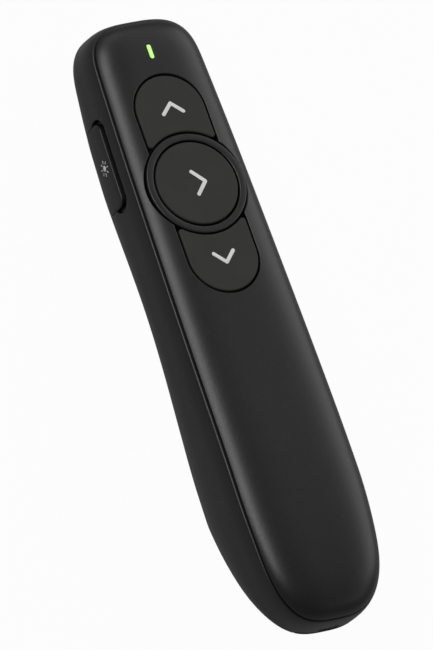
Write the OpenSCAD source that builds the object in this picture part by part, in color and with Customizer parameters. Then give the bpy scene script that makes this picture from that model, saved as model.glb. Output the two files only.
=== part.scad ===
// Wireless presentation clicker with three deck keys, a laser key on its side,
// a stowed USB receiver and one AAA cell.
// X runs to the right, Y towards the head, Z up. The origin lies on the table under the middle.
// Lengths are millimetres, angles are degrees.

/* [Housing outline] */
// Distance from the head pair of housing screws to the nose
nose_room = 7; // [6.8:0.1:8]
// Width at the head end
head_width = 26.4; // [26:0.2:28]
// Width beside the keys
key_row_width = 29.6; // [29.2:0.1:31]
// Width at the palm
palm_width = 31.8; // [31:0.2:34]
// Width at the tail end
tail_width = 25.2; // [24:0.2:27]
// Distance of the widest stretch of the palm from the tail
palm_place = 31; // [29:1:35]
// Length of the rounded head end
head_round = 12; // [10:0.5:14]
// Length of the rounded tail end
tail_round = 17; // [15:0.5:19]
// Squareness of the head's corners in plan, 2 is an ellipse
head_square = 3.2; // [3:0.1:3.8]
// Squareness of the tail's corners in plan
tail_square = 3; // [2.6:0.1:3.6]

/* [Housing heights] */
// Height of the round key's top above the table
deck_height = 21.6; // [21.4:0.1:23]
// Slope of the key deck down towards the head
deck_tilt = 4; // [3.5:0.1:4.5]
// Drop of the deck's ridge at the tail end
tail_drop = 3; // [2:0.1:3.6]
// Distance behind the round key where the ridge starts to fall
bend_place = 29.8; // [26:0.2:34]
// Sharpness of that fall
tail_bend = 4.5; // [3.5:0.1:5.5]
// Depth of the parting line below the ridge
seam_depth = 1.9; // [1.8:0.1:2.2]
// Further drop of the parting line at the tail end
seam_drop = 5; // [4:0.1:5.5]
// Depth of the widest line below the parting line
belt_depth = 7; // [6.6:0.1:7.4]
// Height of the arch under the fingers
arch_rise = 4.2; // [3.6:0.1:4.4]
// Distance of that arch behind the round key
arch_place = 25.8; // [22:0.2:30]
// Distance of the front rest on the table from the nose
front_rest_place = 29; // [27:0.5:31]
// Distance of the palm rest on the table from the tail
palm_rest_place = 32; // [31:0.5:35]
// Wall under the laser window
nose_wall = 1.6; // [1.4:0.1:2]
// Rise of the underside at the tail end
tail_rise = 14.3; // [13.5:0.1:14.6]
// Rise of the underside where the palm swell ends
swell_rise = 1.6; // [1:0.1:2]
// Length of that stretch behind the palm rest
swell_length = 8; // [7:0.5:10]
// How far the two rests are flattened
land_sink = 0.25; // [0.2:0.01:0.3]
// Squareness of the section's upper corners, sideways
crown_side = 4.6; // [4:0.1:5]
// Squareness of the section's upper corners, upwards
crown_top = 4; // [3.6:0.1:4.4]
// Squareness of the section's lower corners, sideways
belly_side = 3.2; // [2.8:0.1:3.6]
// Squareness of the section's lower corners, downwards
belly_floor = 2.6; // [2.4:0.1:3]

/* [Walls and parting line] */
// Wall of the lower shell
wall = 1.6; // [1.4:0.05:1.7]
// Thickness of the key deck
deck_wall = 1.5; // [1.3:0.05:1.6]
// Height of the groove that shows between the shells
groove_gap = 0.4; // [0.3:0.05:0.5]
// Depth of that groove
groove_depth = 0.5; // [0.4:0.05:0.6]
// Depth of the upper shell's locating skirt
skirt_depth = 1.3; // [1:0.1:1.4]
// Thickness of that skirt
skirt_wall = 0.9; // [0.8:0.05:1]
// Gap between parts of the housing that are put together
fit_gap = 0.05; // [0.03:0.01:0.08]

/* [Deck keys] */
// Radius of the round key
round_key_r = 9.4; // [9:0.05:9.6]
// Groove between a key and its surround
key_gap = 0.4; // [0.35:0.01:0.45]
// Width of the ring round the round key
ring_width = 1.6; // [1.4:0.05:1.7]
// Drop of the ring below the keys
ring_drop = 0.15; // [0.1:0.05:0.3]
// Half the width of the up and down keys
arrow_key_r = 8.1; // [7.8:0.05:8.3]
// Distance of those keys' outer arcs from the round key's centre
arrow_key_offset = 16.9; // [16.5:0.1:17.2]
// Rounding of the keys' tips beside the ring
tip_round = 0.7; // [0.5:0.05:0.8]
// Bevel on the rim of a key
key_bevel = 0.3; // [0.2:0.05:0.4]
// Thickness of a key's cap
key_cap = 1.6; // [1.4:0.05:1.8]
// How far a key is drawn in below its cap
key_skirt = 0.8; // [0.6:0.1:1]
// Thickness of a key's retaining flange
flange_t = 0.7; // [0.6:0.05:0.8]
// How far the flange reaches past the key's edge
flange_reach = 0.9; // [0.8:0.05:1]
// Gap between the deck's underside and the flanges
flange_gap = 0.75; // [0.7:0.05:0.8]
// Travel of every key
key_travel = 0.35; // [0.25:0.05:0.4]
// Radius of the post under a key
post_r = 1.5; // [1.3:0.1:1.6]
// Running gap round that post
post_gap = 0.3; // [0.2:0.05:0.4]
// Gap left under a key that is pressed right down
press_gap = 0.15; // [0.1:0.05:0.2]

/* [Key frame and circuit board] */
// Thickness of the key frame
frame_t = 0.8; // [0.7:0.05:0.9]
// Half the width of the key frame
frame_half_w = 11.2; // [11:0.05:11.3]
// Corner radius of the key frame
frame_round = 3; // [2:0.5:4]
// Radius of the collars round the board screws
collar_r = 1.7; // [1.5:0.1:1.8]
// Thickness of the circuit board
pcb_t = 0.8; // [0.7:0.05:0.9]
// Half the width of the circuit board
pcb_half_w = 10.2; // [10:0.05:10.3]
// Board left past its screws at the tail end
pcb_margin = 2; // [1.8:0.1:2.2]
// Half the width of the board's tongue under the light
pcb_tongue_half_w = 5; // [3:0.5:5]
// Board left past the middle of the light
pcb_tongue_margin = 2.6; // [2.2:0.1:2.8]
// Width of the radio chip
chip_w = 6; // [5:0.5:8]
// Thickness of the radio chip
chip_t = 0.9; // [0.7:0.1:1.1]
// Place of the radio chip behind the round key
chip_y = 8; // [7:0.5:9]
// Gap between the chip and the crystal
crystal_gap = 1.75; // [1:0.05:3]
// Width of the crystal
crystal_w = 3.2; // [2.5:0.1:4]
// Length of the crystal
crystal_l = 2.5; // [2:0.1:3]
// Thickness of the crystal
crystal_t = 0.8; // [0.6:0.05:1]

/* [Switches] */
// Height of a deck switch's base
switch_h = 1; // [0.9:0.05:1.1]
// Width of a deck switch
switch_w = 5.2; // [4.5:0.1:5.6]
// Radius of a deck switch's plunger
plunger_r = 1.2; // [1:0.05:1.4]
// Height of a plunger above its switch
plunger_proud = 0.45; // [0.4:0.05:0.6]
// How deep a plunger sits in its switch
plunger_sunk = 0.3; // [0.2:0.05:0.4]
// Front of the laser switch, from the middle plane
laser_switch_x = 8.8; // [8.6:0.1:9]
// Depth of the laser switch, across the board
laser_switch_w = 3.6; // [3:0.1:4]
// Length of the laser switch
laser_switch_l = 4.6; // [4:0.1:5]
// Wall of a side switch round its plunger or lever
switch_wall = 0.8; // [0.5:0.05:1]
// Depth of its plunger below the board
laser_plunger_drop = 2.1; // [1.9:0.1:2.3]
// Radius of its plunger
laser_plunger_r = 0.9; // [0.7:0.05:1]
// Depth of the hole that the plunger slides in
laser_plunger_sunk = 0.8; // [0.7:0.05:1]
// Front of the power switch, from the middle plane
power_switch_x = 9.2; // [9:0.1:9.4]
// Depth of the power switch, across the board
power_switch_w = 3.6; // [3:0.1:4]
// Body of the power switch past its slot, at either end
power_switch_end = 2.3; // [1.5:0.1:2.6]
// Length of the power switch's lever
lever_l = 1.6; // [1.2:0.1:2]
// Height of that lever
lever_h = 1.4; // [1:0.1:1.6]
// How deep the lever sits in its switch
lever_sunk = 0.8; // [0.6:0.1:0.9]
// Running gap round the lever
lever_gap = 0.1; // [0.08:0.01:0.15]
// Distance of the board screws from the board's centre line
pcb_screw_x = 6; // [5.8:0.1:6.2]
// Gap between a board screw's collar and the flange of the nearest key
collar_gap = 0.6; // [0.4:0.1:1]
// How far the key frame reaches past those collars
frame_margin = 0.1; // [0:0.1:0.2]
// Radius of a board screw's shank
pcb_screw_r = 0.6; // [0.5:0.05:0.65]

/* [Status light] */
// Distance of the light window from the rim of the up key
light_place = 5.9; // [5.5:0.1:6.2]
// Length of the light window
light_l = 2.9; // [2.5:0.1:3.2]
// Width of the light window
light_w = 1.15; // [1:0.05:1.3]
// Height of the light-emitting chip
led_h = 0.8; // [0.6:0.05:0.9]
// Width of that chip
led_w = 1.6; // [1.2:0.1:2]
// Length of that chip
led_l = 3.2; // [2.8:0.1:3.6]
// How far the light pipe's top lies below the deck
light_sunk = 0.1; // [0.05:0.01:0.2]
// How far the light pipe's flange reaches past the window
light_flange = 1.2; // [1:0.1:1.3]
// Thickness of that flange
light_flange_t = 0.5; // [0.4:0.05:0.6]
// Gap round the light pipe in the key frame
light_notch_gap = 0.8; // [0.5:0.05:0.9]

/* [Laser key] */
// Distance of the laser key ahead of the round key
laser_key_y = 10.6; // [10:0.1:11]
// Depth of the laser key's middle below the deck
laser_key_z = 10.6; // [10.4:0.1:10.8]
// Length of the laser key
laser_key_l = 20.4; // [19:0.2:21]
// Height of the laser key
laser_key_h = 7.8; // [7.4:0.1:8]
// How far the laser key stands out of the side
laser_key_proud = 0.05; // [0:0.05:0.4]
// Depth of the scooped hollow that the laser key lies in
scoop_depth = 0.9; // [0.6:0.05:1]
// How far the hollow reaches above the key
scoop_top = 1.9; // [1.6:0.1:2.1]
// How far it reaches below the key
scoop_low = 0.6; // [0.5:0.05:1]
// How far it reaches past the key's ends
scoop_end = 0.9; // [0.7:0.05:1.2]
// Thickness of the laser key's retaining flange
laser_flange_t = 0.5; // [0.4:0.05:0.5]
// How far the flange reaches past the key's ends
laser_flange_l = 0.7; // [0.6:0.05:0.8]
// How far it reaches past the key's long sides
laser_flange_h = 0.4; // [0.3:0.05:0.45]
// Gap between the flange and the circuit board's edge when the key is pressed
laser_flange_gap = 0.2; // [0.15:0.05:0.25]
// Radius of the post behind the laser key
laser_post_r = 1.4; // [1.2:0.1:1.5]

/* [Power slider] */
// Distance of the power slider ahead of the round key
slider_y = 2; // [0:0.5:3]
// Depth of the power slider below the circuit board
slider_drop = 2.35; // [2.2:0.05:2.5]
// Length of the slider's grip
slider_l = 6; // [5:0.1:6.5]
// Height of the slider's grip
slider_h = 2.6; // [2.4:0.1:2.8]
// How far the grip stands out of the side
slider_proud = 0.6; // [0.4:0.05:0.7]
// Travel of the slider
slider_travel = 2.5; // [2:0.1:2.8]
// Distance of the slider's hidden plate from the middle plane
slider_plate_x = 11.6; // [11.5:0.05:11.7]
// Thickness of that plate
slider_plate_t = 0.7; // [0.6:0.05:0.75]
// How far the plate reaches past the slot on every side
slider_plate_reach = 0.6; // [0.5:0.05:0.65]

/* [Laser module] */
// Radius of the laser barrel
barrel_r = 3; // [2.8:0.05:3]
// Length of the laser barrel
barrel_l = 12; // [10:0.5:12.5]
// Gap between the laser barrel and the circuit board
laser_gap = 0.05; // [0.03:0.01:0.1]
// Radius of the laser window
window_r = 2.2; // [1.8:0.05:2.3]
// Thickness of the laser window
window_t = 1; // [0.8:0.1:1.1]
// How far the laser window is set back from the housing's nose
window_sunk = 1.1; // [1:0.05:1.2]
// Gap between the window and the barrel
window_gap = 0.3; // [0.2:0.05:0.4]
// Wall of the barrel's mouth
barrel_lip = 0.8; // [0.7:0.05:0.9]
// Wall of the barrel behind the lens
barrel_wall = 1.2; // [1.1:0.05:1.4]
// Depth of the barrel's mouth
mouth_l = 3; // [2.6:0.1:3.2]
// Thickness of the lens
lens_t = 1.4; // [1.2:0.1:1.6]
// How far the lens sits behind the barrel's rim
lens_sunk = 0.8; // [0.6:0.1:1]
// Thickness of the laser's driver board
driver_t = 0.8; // [0.6:0.05:1]
// How much smaller the driver board is than the barrel all round
driver_inset = 0.2; // [0.1:0.05:0.4]
// Distance of the first saddle from the barrel's tail end
saddle_place = 1.4; // [1:0.1:2]
// Distance between the two saddles
saddle_pitch = 7; // [6:0.2:7]
// Half the width of a saddle
saddle_half_w = 4.5; // [4.2:0.1:5]
// Thickness of a saddle
saddle_t = 1.2; // [1:0.1:1.4]

/* [Battery bay] */
// Radius of the AAA cell
cell_r = 5.25; // [5:0.05:5.25]
// Length of the AAA cell with its cap
cell_l = 44.5; // [44:0.1:44.6]
// Gap between the cell and the floor of the arch
cell_lift = 0.6; // [0.5:0.05:0.8]
// Length of the pressed battery spring
spring_l = 2.2; // [2:0.1:3]
// Wall between the battery bay and the end of the plug
plug_wall = 0.6; // [0.5:0.05:0.8]
// Gap between the battery bay and the circuit board
board_gap = 0.1; // [0.1:0.05:0.5]
// Walls of the battery tray
bay_wall = 1.2; // [1.1:0.05:1.3]
// Gap round the cell
cell_gap = 0.3; // [0.25:0.05:0.35]
// Radius of the cell's cap
cap_r = 1.9; // [1.8:0.1:2.75]
// Height of the cell's cap
cap_h = 0.9; // [0.8:0.1:1.1]
// Thickness of the battery contacts
contact_t = 0.4; // [0.3:0.05:0.5]
// Radius of the battery spring at the cell
coil_tip_r = 2.2; // [2:0.1:2.6]
// Wire of the battery spring
spring_wire = 0.6; // [0.5:0.05:0.7]
// Turns of the battery spring
spring_turns = 3; // [2.5:0.5:4]
// How far the battery door reaches past the tray on either side
door_reach = 0.65; // [0.5:0.05:0.8]
// Gap round the battery door
door_gap = 0.2; // [0.15:0.05:0.25]
// Corner radius of the battery door
door_round = 2.5; // [2:0.1:3]
// Gap between a rib that holds the cell up and the tray's sides
door_rib_inset = 1.05; // [0.8:0.05:1.4]
// Gap between the ribs and the cell
rib_gap = 0.1; // [0.05:0.01:0.15]
// Thickness of such a rib
door_rib_t = 1.2; // [1:0.1:1.4]
// Number of ribs
door_rib_count = 4; // [3:1:5]
// Half the distance between the door's two hook tabs
tab_x = 4.5; // [4.2:0.1:4.8]
// Width of a hook tab
tab_w = 2.2; // [1.8:0.1:2.4]
// Thickness of a hook tab
tab_t = 0.8; // [0.7:0.05:0.9]
// Length of a hook tab's root on the door
tab_root = 2; // [1.6:0.1:2.4]
// Height of that root
tab_root_h = 1.5; // [1.3:0.1:1.6]
// How far a hook tab reaches over the shell's edge
tab_l = 1; // [0.8:0.05:1.05]
// Radius of the nail notch at the door's tail end
nail_r = 1.6; // [1.4:0.1:1.8]
// How far the notch's axis lies below the housing
nail_sink = 0.6; // [0.5:0.1:0.8]
// Width of that notch
nail_w = 8; // [6:0.5:9]

/* [USB receiver] */
// Floor under the thick end of the plug
plug_floor = 0.6; // [0.5:0.05:0.7]
// Width of the receiver's grip
grip_w = 14; // [13.6:0.1:14.4]
// Height of the receiver's grip
grip_h = 5.4; // [5.2:0.1:5.6]
// Length of the receiver's grip along the body
grip_l = 7; // [6.9:0.1:7]
// Gap round the receiver
receiver_gap = 0.2; // [0.15:0.05:0.25]
// Width of the plug
plug_w = 12; // [12:0.1:12.2]
// Height of the plug
plug_h = 4.5; // [4.5:0.1:4.6]
// Length of the plug
plug_l = 11.6; // [11.4:0.1:11.7]
// Sheet thickness of the plug
plug_t = 0.35; // [0.3:0.05:0.4]
// Thickness of the plug's contact tongue
tongue_t = 1.9; // [1.8:0.05:2]
// How far the tongue stays behind the plug's rim
tongue_sunk = 0.6; // [0.4:0.1:0.8]
// Corner radius of the receiver's grip
grip_round = 1.2; // [1:0.1:1.4]
// Walls of the receiver's bay
pocket_wall = 1.6; // [1.3:0.1:1.8]

/* [Housing screws] */
// Radius of a housing screw's shank
screw_r = 1; // [0.9:0.05:1.05]
// Radius of a housing screw's head
screw_head_r = 1.8; // [1.6:0.1:1.8]
// Height of a housing screw's head
screw_head_h = 1.2; // [1:0.1:1.4]
// Height of the seat of the screws' heads above the table
screw_seat = 7.5; // [7.2:0.1:7.8]
// How far a screw reaches into its boss
screw_bite = 3.4; // [3:0.1:3.6]
// Radius of the lower shell's screw posts
screw_post_r = 3; // [2.8:0.1:3.1]
// Radius of the upper shell's screw bosses
screw_boss_r = 2.2; // [2:0.1:2.3]
// Gap between the head pair of bosses and the circuit board
boss_gap = 0.3; // [0.2:0.05:0.4]
// Distance of the neck pair of screws behind the head end of the battery bay
neck_screw_back = 1.9; // [1.7:0.1:2.2]
// Wall between the neck pair's sinks and the battery door
neck_screw_wall = 0.2; // [0.2:0.05:0.3]
// Gap round a screw's head in its sink
sink_gap = 0.2; // [0.1:0.05:0.25]
// Gap round a screw's shank in a part that it only passes
shank_gap = 0.1; // [0.08:0.01:0.15]
// Gap round a screw's shank in the part that it bites
bite_gap = 0.02; // [0.01:0.01:0.03]
// Radius of a board screw's head
pcb_head_r = 1.3; // [1.2:0.05:1.4]
// How far a board screw reaches into the deck
board_screw_bite = 0.2; // [0.1:0.05:0.3]
// Height of a board screw's head
pcb_head_h = 0.8; // [0.6:0.05:0.9]

/* [Hidden] */
$fn = 64;
tiny = 0.01;
// The hollow's cutter runs this many times its depth out of its floor
scoop_flare = 2;
// A length that reaches past every part
far = 20;

// Levels below the key tops, in the deck's frame
flange_top = -deck_wall - flange_gap;
flange_low = flange_top - flange_t;
frame_top = flange_low - key_travel - press_gap;
frame_low = frame_top - frame_t;
stem_low = frame_low - press_gap;
switch_top = stem_low - plunger_proud;
pcb_top = switch_top - switch_h;
pcb_low = pcb_top - pcb_t;
slider_z = slider_drop - pcb_low;

// Places along the deck
pcb_screw_y = arrow_key_offset + arrow_key_r + flange_reach + collar_gap + collar_r;
frame_half_l = pcb_screw_y + collar_r + frame_margin;
pcb_half_l = pcb_screw_y + pcb_margin;
pcb_neck_half_w = pcb_screw_x + pcb_margin;
light_y = arrow_key_offset + arrow_key_r + light_place;

// The row from tail to nose: receiver, cell, circuit board and laser
bay_l = 2 * contact_t + spring_l + cell_l;
board_run = pcb_half_l * cos(deck_tilt) - pcb_low * sin(deck_tilt);
head_screw_run =
    pcb_half_l * cos(deck_tilt) + pcb_top * sin(deck_tilt) + screw_boss_r + boss_gap;
nose_length = head_screw_run + nose_room;
body_length =
    grip_l + plug_l + receiver_gap + plug_wall + bay_l
    + bay_wall + board_gap + board_run + nose_length;
head_y = body_length / 2;
tail_y = -body_length / 2;
receiver_in_y = tail_y + grip_l;
plug_end_y = receiver_in_y + plug_l;
bay_tail_y = plug_end_y + receiver_gap + plug_wall;
bay_head_y = bay_tail_y + bay_l;
key_y = head_y - nose_length;
palm_y = tail_y + palm_place;
palm_rest_y = tail_y + palm_rest_place;
front_rest_y = head_y - front_rest_place;
arch_y = key_y - arch_place;
bend_y = key_y - bend_place;

// Heights of the laser and the nose
board_tip_z =
    deck_height - (light_y + pcb_tongue_margin) * sin(deck_tilt) + pcb_low * cos(deck_tilt);
laser_z = board_tip_z - laser_gap - barrel_r;
head_rise = laser_z - window_r - nose_wall;
head_spine = head_y - head_round;
tail_spine = tail_y + tail_round;
width_knots = [
    [tail_y, tail_width / 2],
    [palm_y, palm_width / 2],
    [key_y, key_row_width / 2],
    [head_y, head_width / 2]
];
under_knots = [
    [tail_y, tail_rise],
    [palm_rest_y - swell_length, swell_rise],
    [palm_rest_y, 0],
    [arch_y, arch_rise],
    [front_rest_y, 0],
    [head_y, head_rise]
];

// Smooth curve through [y, value] knots that never swings past them
function rise(k, i) = (k[i + 1][1] - k[i][1]) / (k[i + 1][0] - k[i][0]);
function mid_slope(k, i) =
    let (a = rise(k, i - 1), b = rise(k, i))
    a * b <= 0 ? 0 : 2 * a * b / (a + b);
function slope(k, i) =
    i == 0 ? 1.5 * rise(k, 0) - mid_slope(k, 1) / 2 :
    i == len(k) - 1 ? 1.5 * rise(k, i - 1) - mid_slope(k, i - 1) / 2 :
    mid_slope(k, i);
function span(k, y, i = 0) = i < len(k) - 2 && y > k[i + 1][0] ? span(k, y, i + 1) : i;
function through(k, y) =
    let (
        i = span(k, y),
        h = k[i + 1][0] - k[i][0],
        t = (y - k[i][0]) / h,
        hump = t * t * (3 - 2 * t)
    )
    k[i][1] * (1 - hump) + k[i + 1][1] * hump
    + h * slope(k, i) * t * (1 - t) * (1 - t)
    - h * slope(k, i + 1) * t * t * (1 - t);

// Heights of the housing's leading lines at one place along it
function fall(y) = pow(max(0, (bend_y - y) / (bend_y - tail_y)), tail_bend);
function deck_z(y) = deck_height + (key_y - y) * tan(deck_tilt);
function top_z(y) = deck_z(y) - tail_drop * fall(y);
function seam_z(y) = deck_z(y) - seam_depth - seam_drop * fall(y);
function belt_z(y) = seam_z(y) - belt_depth;
function under_z(y) = max(0, through(under_knots, y) - land_sink);

// One station of the plan outline: [across, along, spine, cap length, half width]
cap_step = 10;
side_steps = 17;
function station(across, along, spine, cap) =
    [across, along, spine, cap, through(width_knots, spine + along * cap)];
right_side = concat(
    [for (a = [90:-cap_step:0])
        station(pow(cos(a), 2 / tail_square), -pow(sin(a), 2 / tail_square), tail_spine, tail_round)],
    [for (i = [1:side_steps - 1])
        station(1, 0, tail_spine + (head_spine - tail_spine) * i / side_steps, 0)],
    [for (a = [0:cap_step:90])
        station(pow(cos(a), 2 / head_square), pow(sin(a), 2 / head_square), head_spine, head_round)]
);
half_count = len(right_side);
outline = concat(
    right_side,
    [for (i = [half_count - 2:-1:1])
        let (s = right_side[i])
        [-s[0], s[1], s[2], s[3], s[4]]]
);
ring_count = len(outline);

// Plan point of a station: share of the full size, then an inset from it
function plan(s, share, inset) =
    [s[0] * (share * s[4] - inset), s[2] + s[1] * (share * s[3] - inset)];
function placed(p, z) = [p[0], p[1], z];

// Section angles: 0 is the widest line, 90 the ridge or the keel
function upper_share(t) = pow(cos(t), 2 / crown_side);
function upper_height(t) = pow(sin(t), 2 / crown_top);
function lower_share(t) = pow(cos(t), 2 / belly_side);
function lower_height(t) = pow(sin(t), 2 / belly_floor);
function upper_z(y, height, inset = 0) = belt_z(y) + (top_z(y) - inset - belt_z(y)) * height;
function lower_z(y, height, inset = 0) = belt_z(y) - (belt_z(y) - under_z(y) - inset) * height;
// Section angle where the outer skin is a given height above the widest line
function skin_angle(s, height, passes = 4) =
    passes == 0 ? 38 :
    let (y = plan(s, upper_share(skin_angle(s, height, passes - 1)), 0)[1])
    asin(pow(height / (top_z(y) - belt_z(y)), crown_top / 2));

function upper_ring(t, inset) =
    [for (s = outline)
        let (p = plan(s, upper_share(t), inset * upper_share(t)))
        placed(p, upper_z(p[1], upper_height(t), inset))];
function lower_ring(t, inset) =
    [for (s = outline)
        let (p = plan(s, lower_share(t), inset * lower_share(t)))
        placed(p, lower_z(p[1], lower_height(t), inset))];
// Closing rings on the ridge and the keel, where the skin is level across
ridge_share = 0.25;
function ridge_ring(inset) =
    [for (s = outline)
        let (p = plan(s, ridge_share, 0))
        placed(p, top_z(p[1]) - inset)];
function keel_ring(inset) =
    [for (s = outline)
        let (p = plan(s, ridge_share, 0))
        placed(p, under_z(p[1]) + inset)];
// Ring a given height above the widest line, moved inwards and up or down
function side_ring(height, inset, lift = 0) =
    [for (s = outline)
        let (
            share = upper_share(skin_angle(s, height)),
            skin = plan(s, share, 0),
            p = plan(s, share, inset)
        )
        placed(p, belt_z(skin[1]) + height + lift)];
// Ring on the lid's outer skin between the parting line (0) and the ridge (1)
function lid_ring(part, sink = 0, inset = 0) =
    [for (s = outline)
        let (
            seam = skin_angle(s, belt_depth),
            t = seam + (90 - seam) * part,
            skin = plan(s, upper_share(t), 0),
            p = plan(s, upper_share(t), inset)
        )
        placed(p, upper_z(skin[1], upper_height(t)) - sink)];

// Closed skin over a stack of rings, from the top down, each end closed by rungs from side to side
function band(a, b) =
    [for (i = [0:ring_count - 1])
        let (j = (i + 1) % ring_count)
        each [[a + i, b + j, b + i], [a + i, a + j, b + j]]];
function rungs(a) =
    concat(
        [[a, a + ring_count - 1, a + 1]],
        [for (i = [1:half_count - 3])
            each [
                [a + i, a + ring_count - i - 1, a + i + 1],
                [a + i, a + ring_count - i, a + ring_count - i - 1]
            ]],
        [[a + half_count - 2, a + half_count, a + half_count - 1]]
    );
function turned(faces) = [for (f = faces) [f[2], f[1], f[0]]];
module skin(rings) {
    last = (len(rings) - 1) * ring_count;
    polyhedron(
        points = [for (r = rings) each r],
        faces = concat(
            rungs(0),
            [for (k = [0:len(rings) - 2]) each band(k * ring_count, (k + 1) * ring_count)],
            turned(rungs(last))
        ),
        convexity = 6
    );
}

// Section angles of the outer skin's rings: below the widest line, and on the lid
belly_angles = [7, 15, 24, 34, 44, 54, 64, 74];
lid_parts = [0, 0.05, 0.12, 0.22, 0.36, 0.54, 0.74];

// Whole housing as one solid, drawn in by the inset
module full_body(inset) {
    skin(concat(
        [ridge_ring(inset)],
        [for (t = [72:-12:0]) upper_ring(t, inset)],
        [for (t = belly_angles) lower_ring(t, inset)],
        [keel_ring(inset)]
    ));
}

module lower_hull() {
    rim = belt_depth - groove_gap;
    skin(concat(
        [keel_ring(wall)],
        [for (t = [70:-14:14]) lower_ring(t, wall)],
        [for (h = [0, 0.3, 0.6]) side_ring(rim * h, wall)],
        [
            side_ring(belt_depth, wall, -fit_gap),
            side_ring(belt_depth, groove_depth, -fit_gap),
            side_ring(rim, groove_depth),
            side_ring(rim, 0)
        ],
        [for (h = [0.85, 0.6, 0.3, 0]) side_ring(rim * h, 0)],
        [for (t = belly_angles) lower_ring(t, 0)],
        [keel_ring(0)]
    ));
}

module upper_hull() {
    skirt_in = wall + 2 * fit_gap;
    skin(concat(
        [ridge_ring(0)],
        [for (i = [len(lid_parts) - 1:-1:0]) lid_ring(lid_parts[i])],
        [
            side_ring(belt_depth, skirt_in),
            side_ring(belt_depth, skirt_in, -skirt_depth),
            side_ring(belt_depth, skirt_in + skirt_wall, -skirt_depth)
        ],
        [for (part = [0.5, 0.72]) lid_ring(part, deck_wall)],
        [ridge_ring(deck_wall)]
    ));
}

// The key deck's own frame: origin on the round key's top, Z square to the deck
module on_deck() {
    translate([0, key_y, deck_height]) rotate([-deck_tilt, 0, 0]) children();
}

// Block centred on X and Y, standing on z
module block(size, at = [0, 0, 0]) {
    translate([at[0] - size[0] / 2, at[1] - size[1] / 2, at[2]]) cube(size);
}
module post(r, z0, z1, at = [0, 0]) {
    translate([at[0], at[1], z0]) cylinder(r = r, h = z1 - z0);
}
// Bar with round corners, its length along Z
module round_bar(w, d, h, r) {
    block([w - 2 * r, d, h]);
    block([w, d - 2 * r, h]);
    for (x = [-1, 1], y = [-1, 1])
        post(r, 0, h, [x * (w / 2 - r), y * (d / 2 - r)]);
}

ring_in = round_key_r + key_gap;
ring_out = ring_in + ring_width;
deck_hole_r = ring_out + key_gap;
arrow_hole_r = arrow_key_r + key_gap;
bite_top = -deck_wall + board_screw_bite;
laser_plunger_z = pcb_low - laser_plunger_drop;
plunger_tip_x = -laser_switch_x - plunger_proud;
plunger_floor_x = -laser_switch_x + laser_plunger_sunk;
slider_slot_l = slider_l + slider_travel + 2 * key_gap;
slider_plate_l = slider_slot_l + slider_travel + 2 * slider_plate_reach;
slider_plate_h = slider_h + 2 * (key_gap + slider_plate_reach);
laser_switch_h = laser_plunger_drop + laser_plunger_r + switch_wall;
power_switch_l = lever_l + slider_travel + 2 * power_switch_end;
power_switch_h = slider_drop + lever_h / 2 + switch_wall / 2;
window_front = head_y - window_sunk;
barrel_end = window_front - window_t - window_gap;
head_screw_x = pcb_tongue_half_w + screw_boss_r + boss_gap;
head_screw_y = key_y + head_screw_run;

// Plan of an arrow key and what guards it: round outer end, straight sides up to the ring
module arrow_slab(r, z0, z1, start = 0) {
    post(r, z0, z1, [0, arrow_key_offset]);
    translate([-r, start, z0]) cube([2 * r, arrow_key_offset - start, z1 - z0]);
}
module arrow_bevel(r, z0, z1) {
    translate([0, arrow_key_offset, z0])
        cylinder(r1 = r, r2 = r - (z1 - z0), h = z1 - z0);
    rotate([-90, 0, 0])
        linear_extrude(arrow_key_offset)
            polygon([[-r, -z0], [r, -z0], [r - (z1 - z0), -z1], [z1 - z0 - r, -z1]]);
}
// Rounds the key's two tips where its sides run into the ring
module arrow_tips(z0, z1, r) {
    tip_x = r - tip_round;
    tip_y = sqrt(pow(deck_hole_r + tip_round, 2) - pow(tip_x, 2));
    touch = deck_hole_r / (deck_hole_r + tip_round);
    for (side = [-1, 1])
        difference() {
            translate([0, 0, z0])
                linear_extrude(z1 - z0)
                    polygon([
                        [side * (r + 1), tip_y],
                        [side * tip_x, tip_y],
                        [side * tip_x * touch, tip_y * touch],
                        [side * tip_x * touch * 0.9, tip_y * touch * 0.9],
                        [side * (r + 1), tip_y * touch * 0.8]
                    ]);
            post(tip_round, z0 - 1, z1 + 1, [side * tip_x, tip_y]);
        }
}
module arrow_key() {
    difference() {
        union() {
            arrow_slab(arrow_key_r, -key_cap, -key_bevel);
            arrow_bevel(arrow_key_r, -key_bevel, 0);
            arrow_slab(arrow_key_r - key_skirt, flange_low, -key_cap, ring_in);
            arrow_slab(arrow_key_r + flange_reach, flange_low, flange_top, deck_hole_r);
        }
        post(deck_hole_r, flange_low - 1, 1);
        arrow_tips(flange_low - 1, 1, arrow_key_r);
    }
    post(post_r, stem_low, flange_low, [0, arrow_key_offset]);
}

module next_button() {
    color([0.17, 0.17, 0.16])
        on_deck() {
            post(round_key_r, -key_cap, -key_bevel);
            translate([0, 0, -key_bevel])
                cylinder(r1 = round_key_r, r2 = round_key_r - key_bevel, h = key_bevel);
            post(round_key_r - key_skirt, flange_low, -key_cap);
            post(post_r, stem_low, flange_low);
        }
}
module up_button() {
    color([0.18, 0.18, 0.17]) on_deck() arrow_key();
}
module down_button() {
    color([0.18, 0.18, 0.17]) on_deck() mirror([0, 1, 0]) arrow_key();
}

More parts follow.
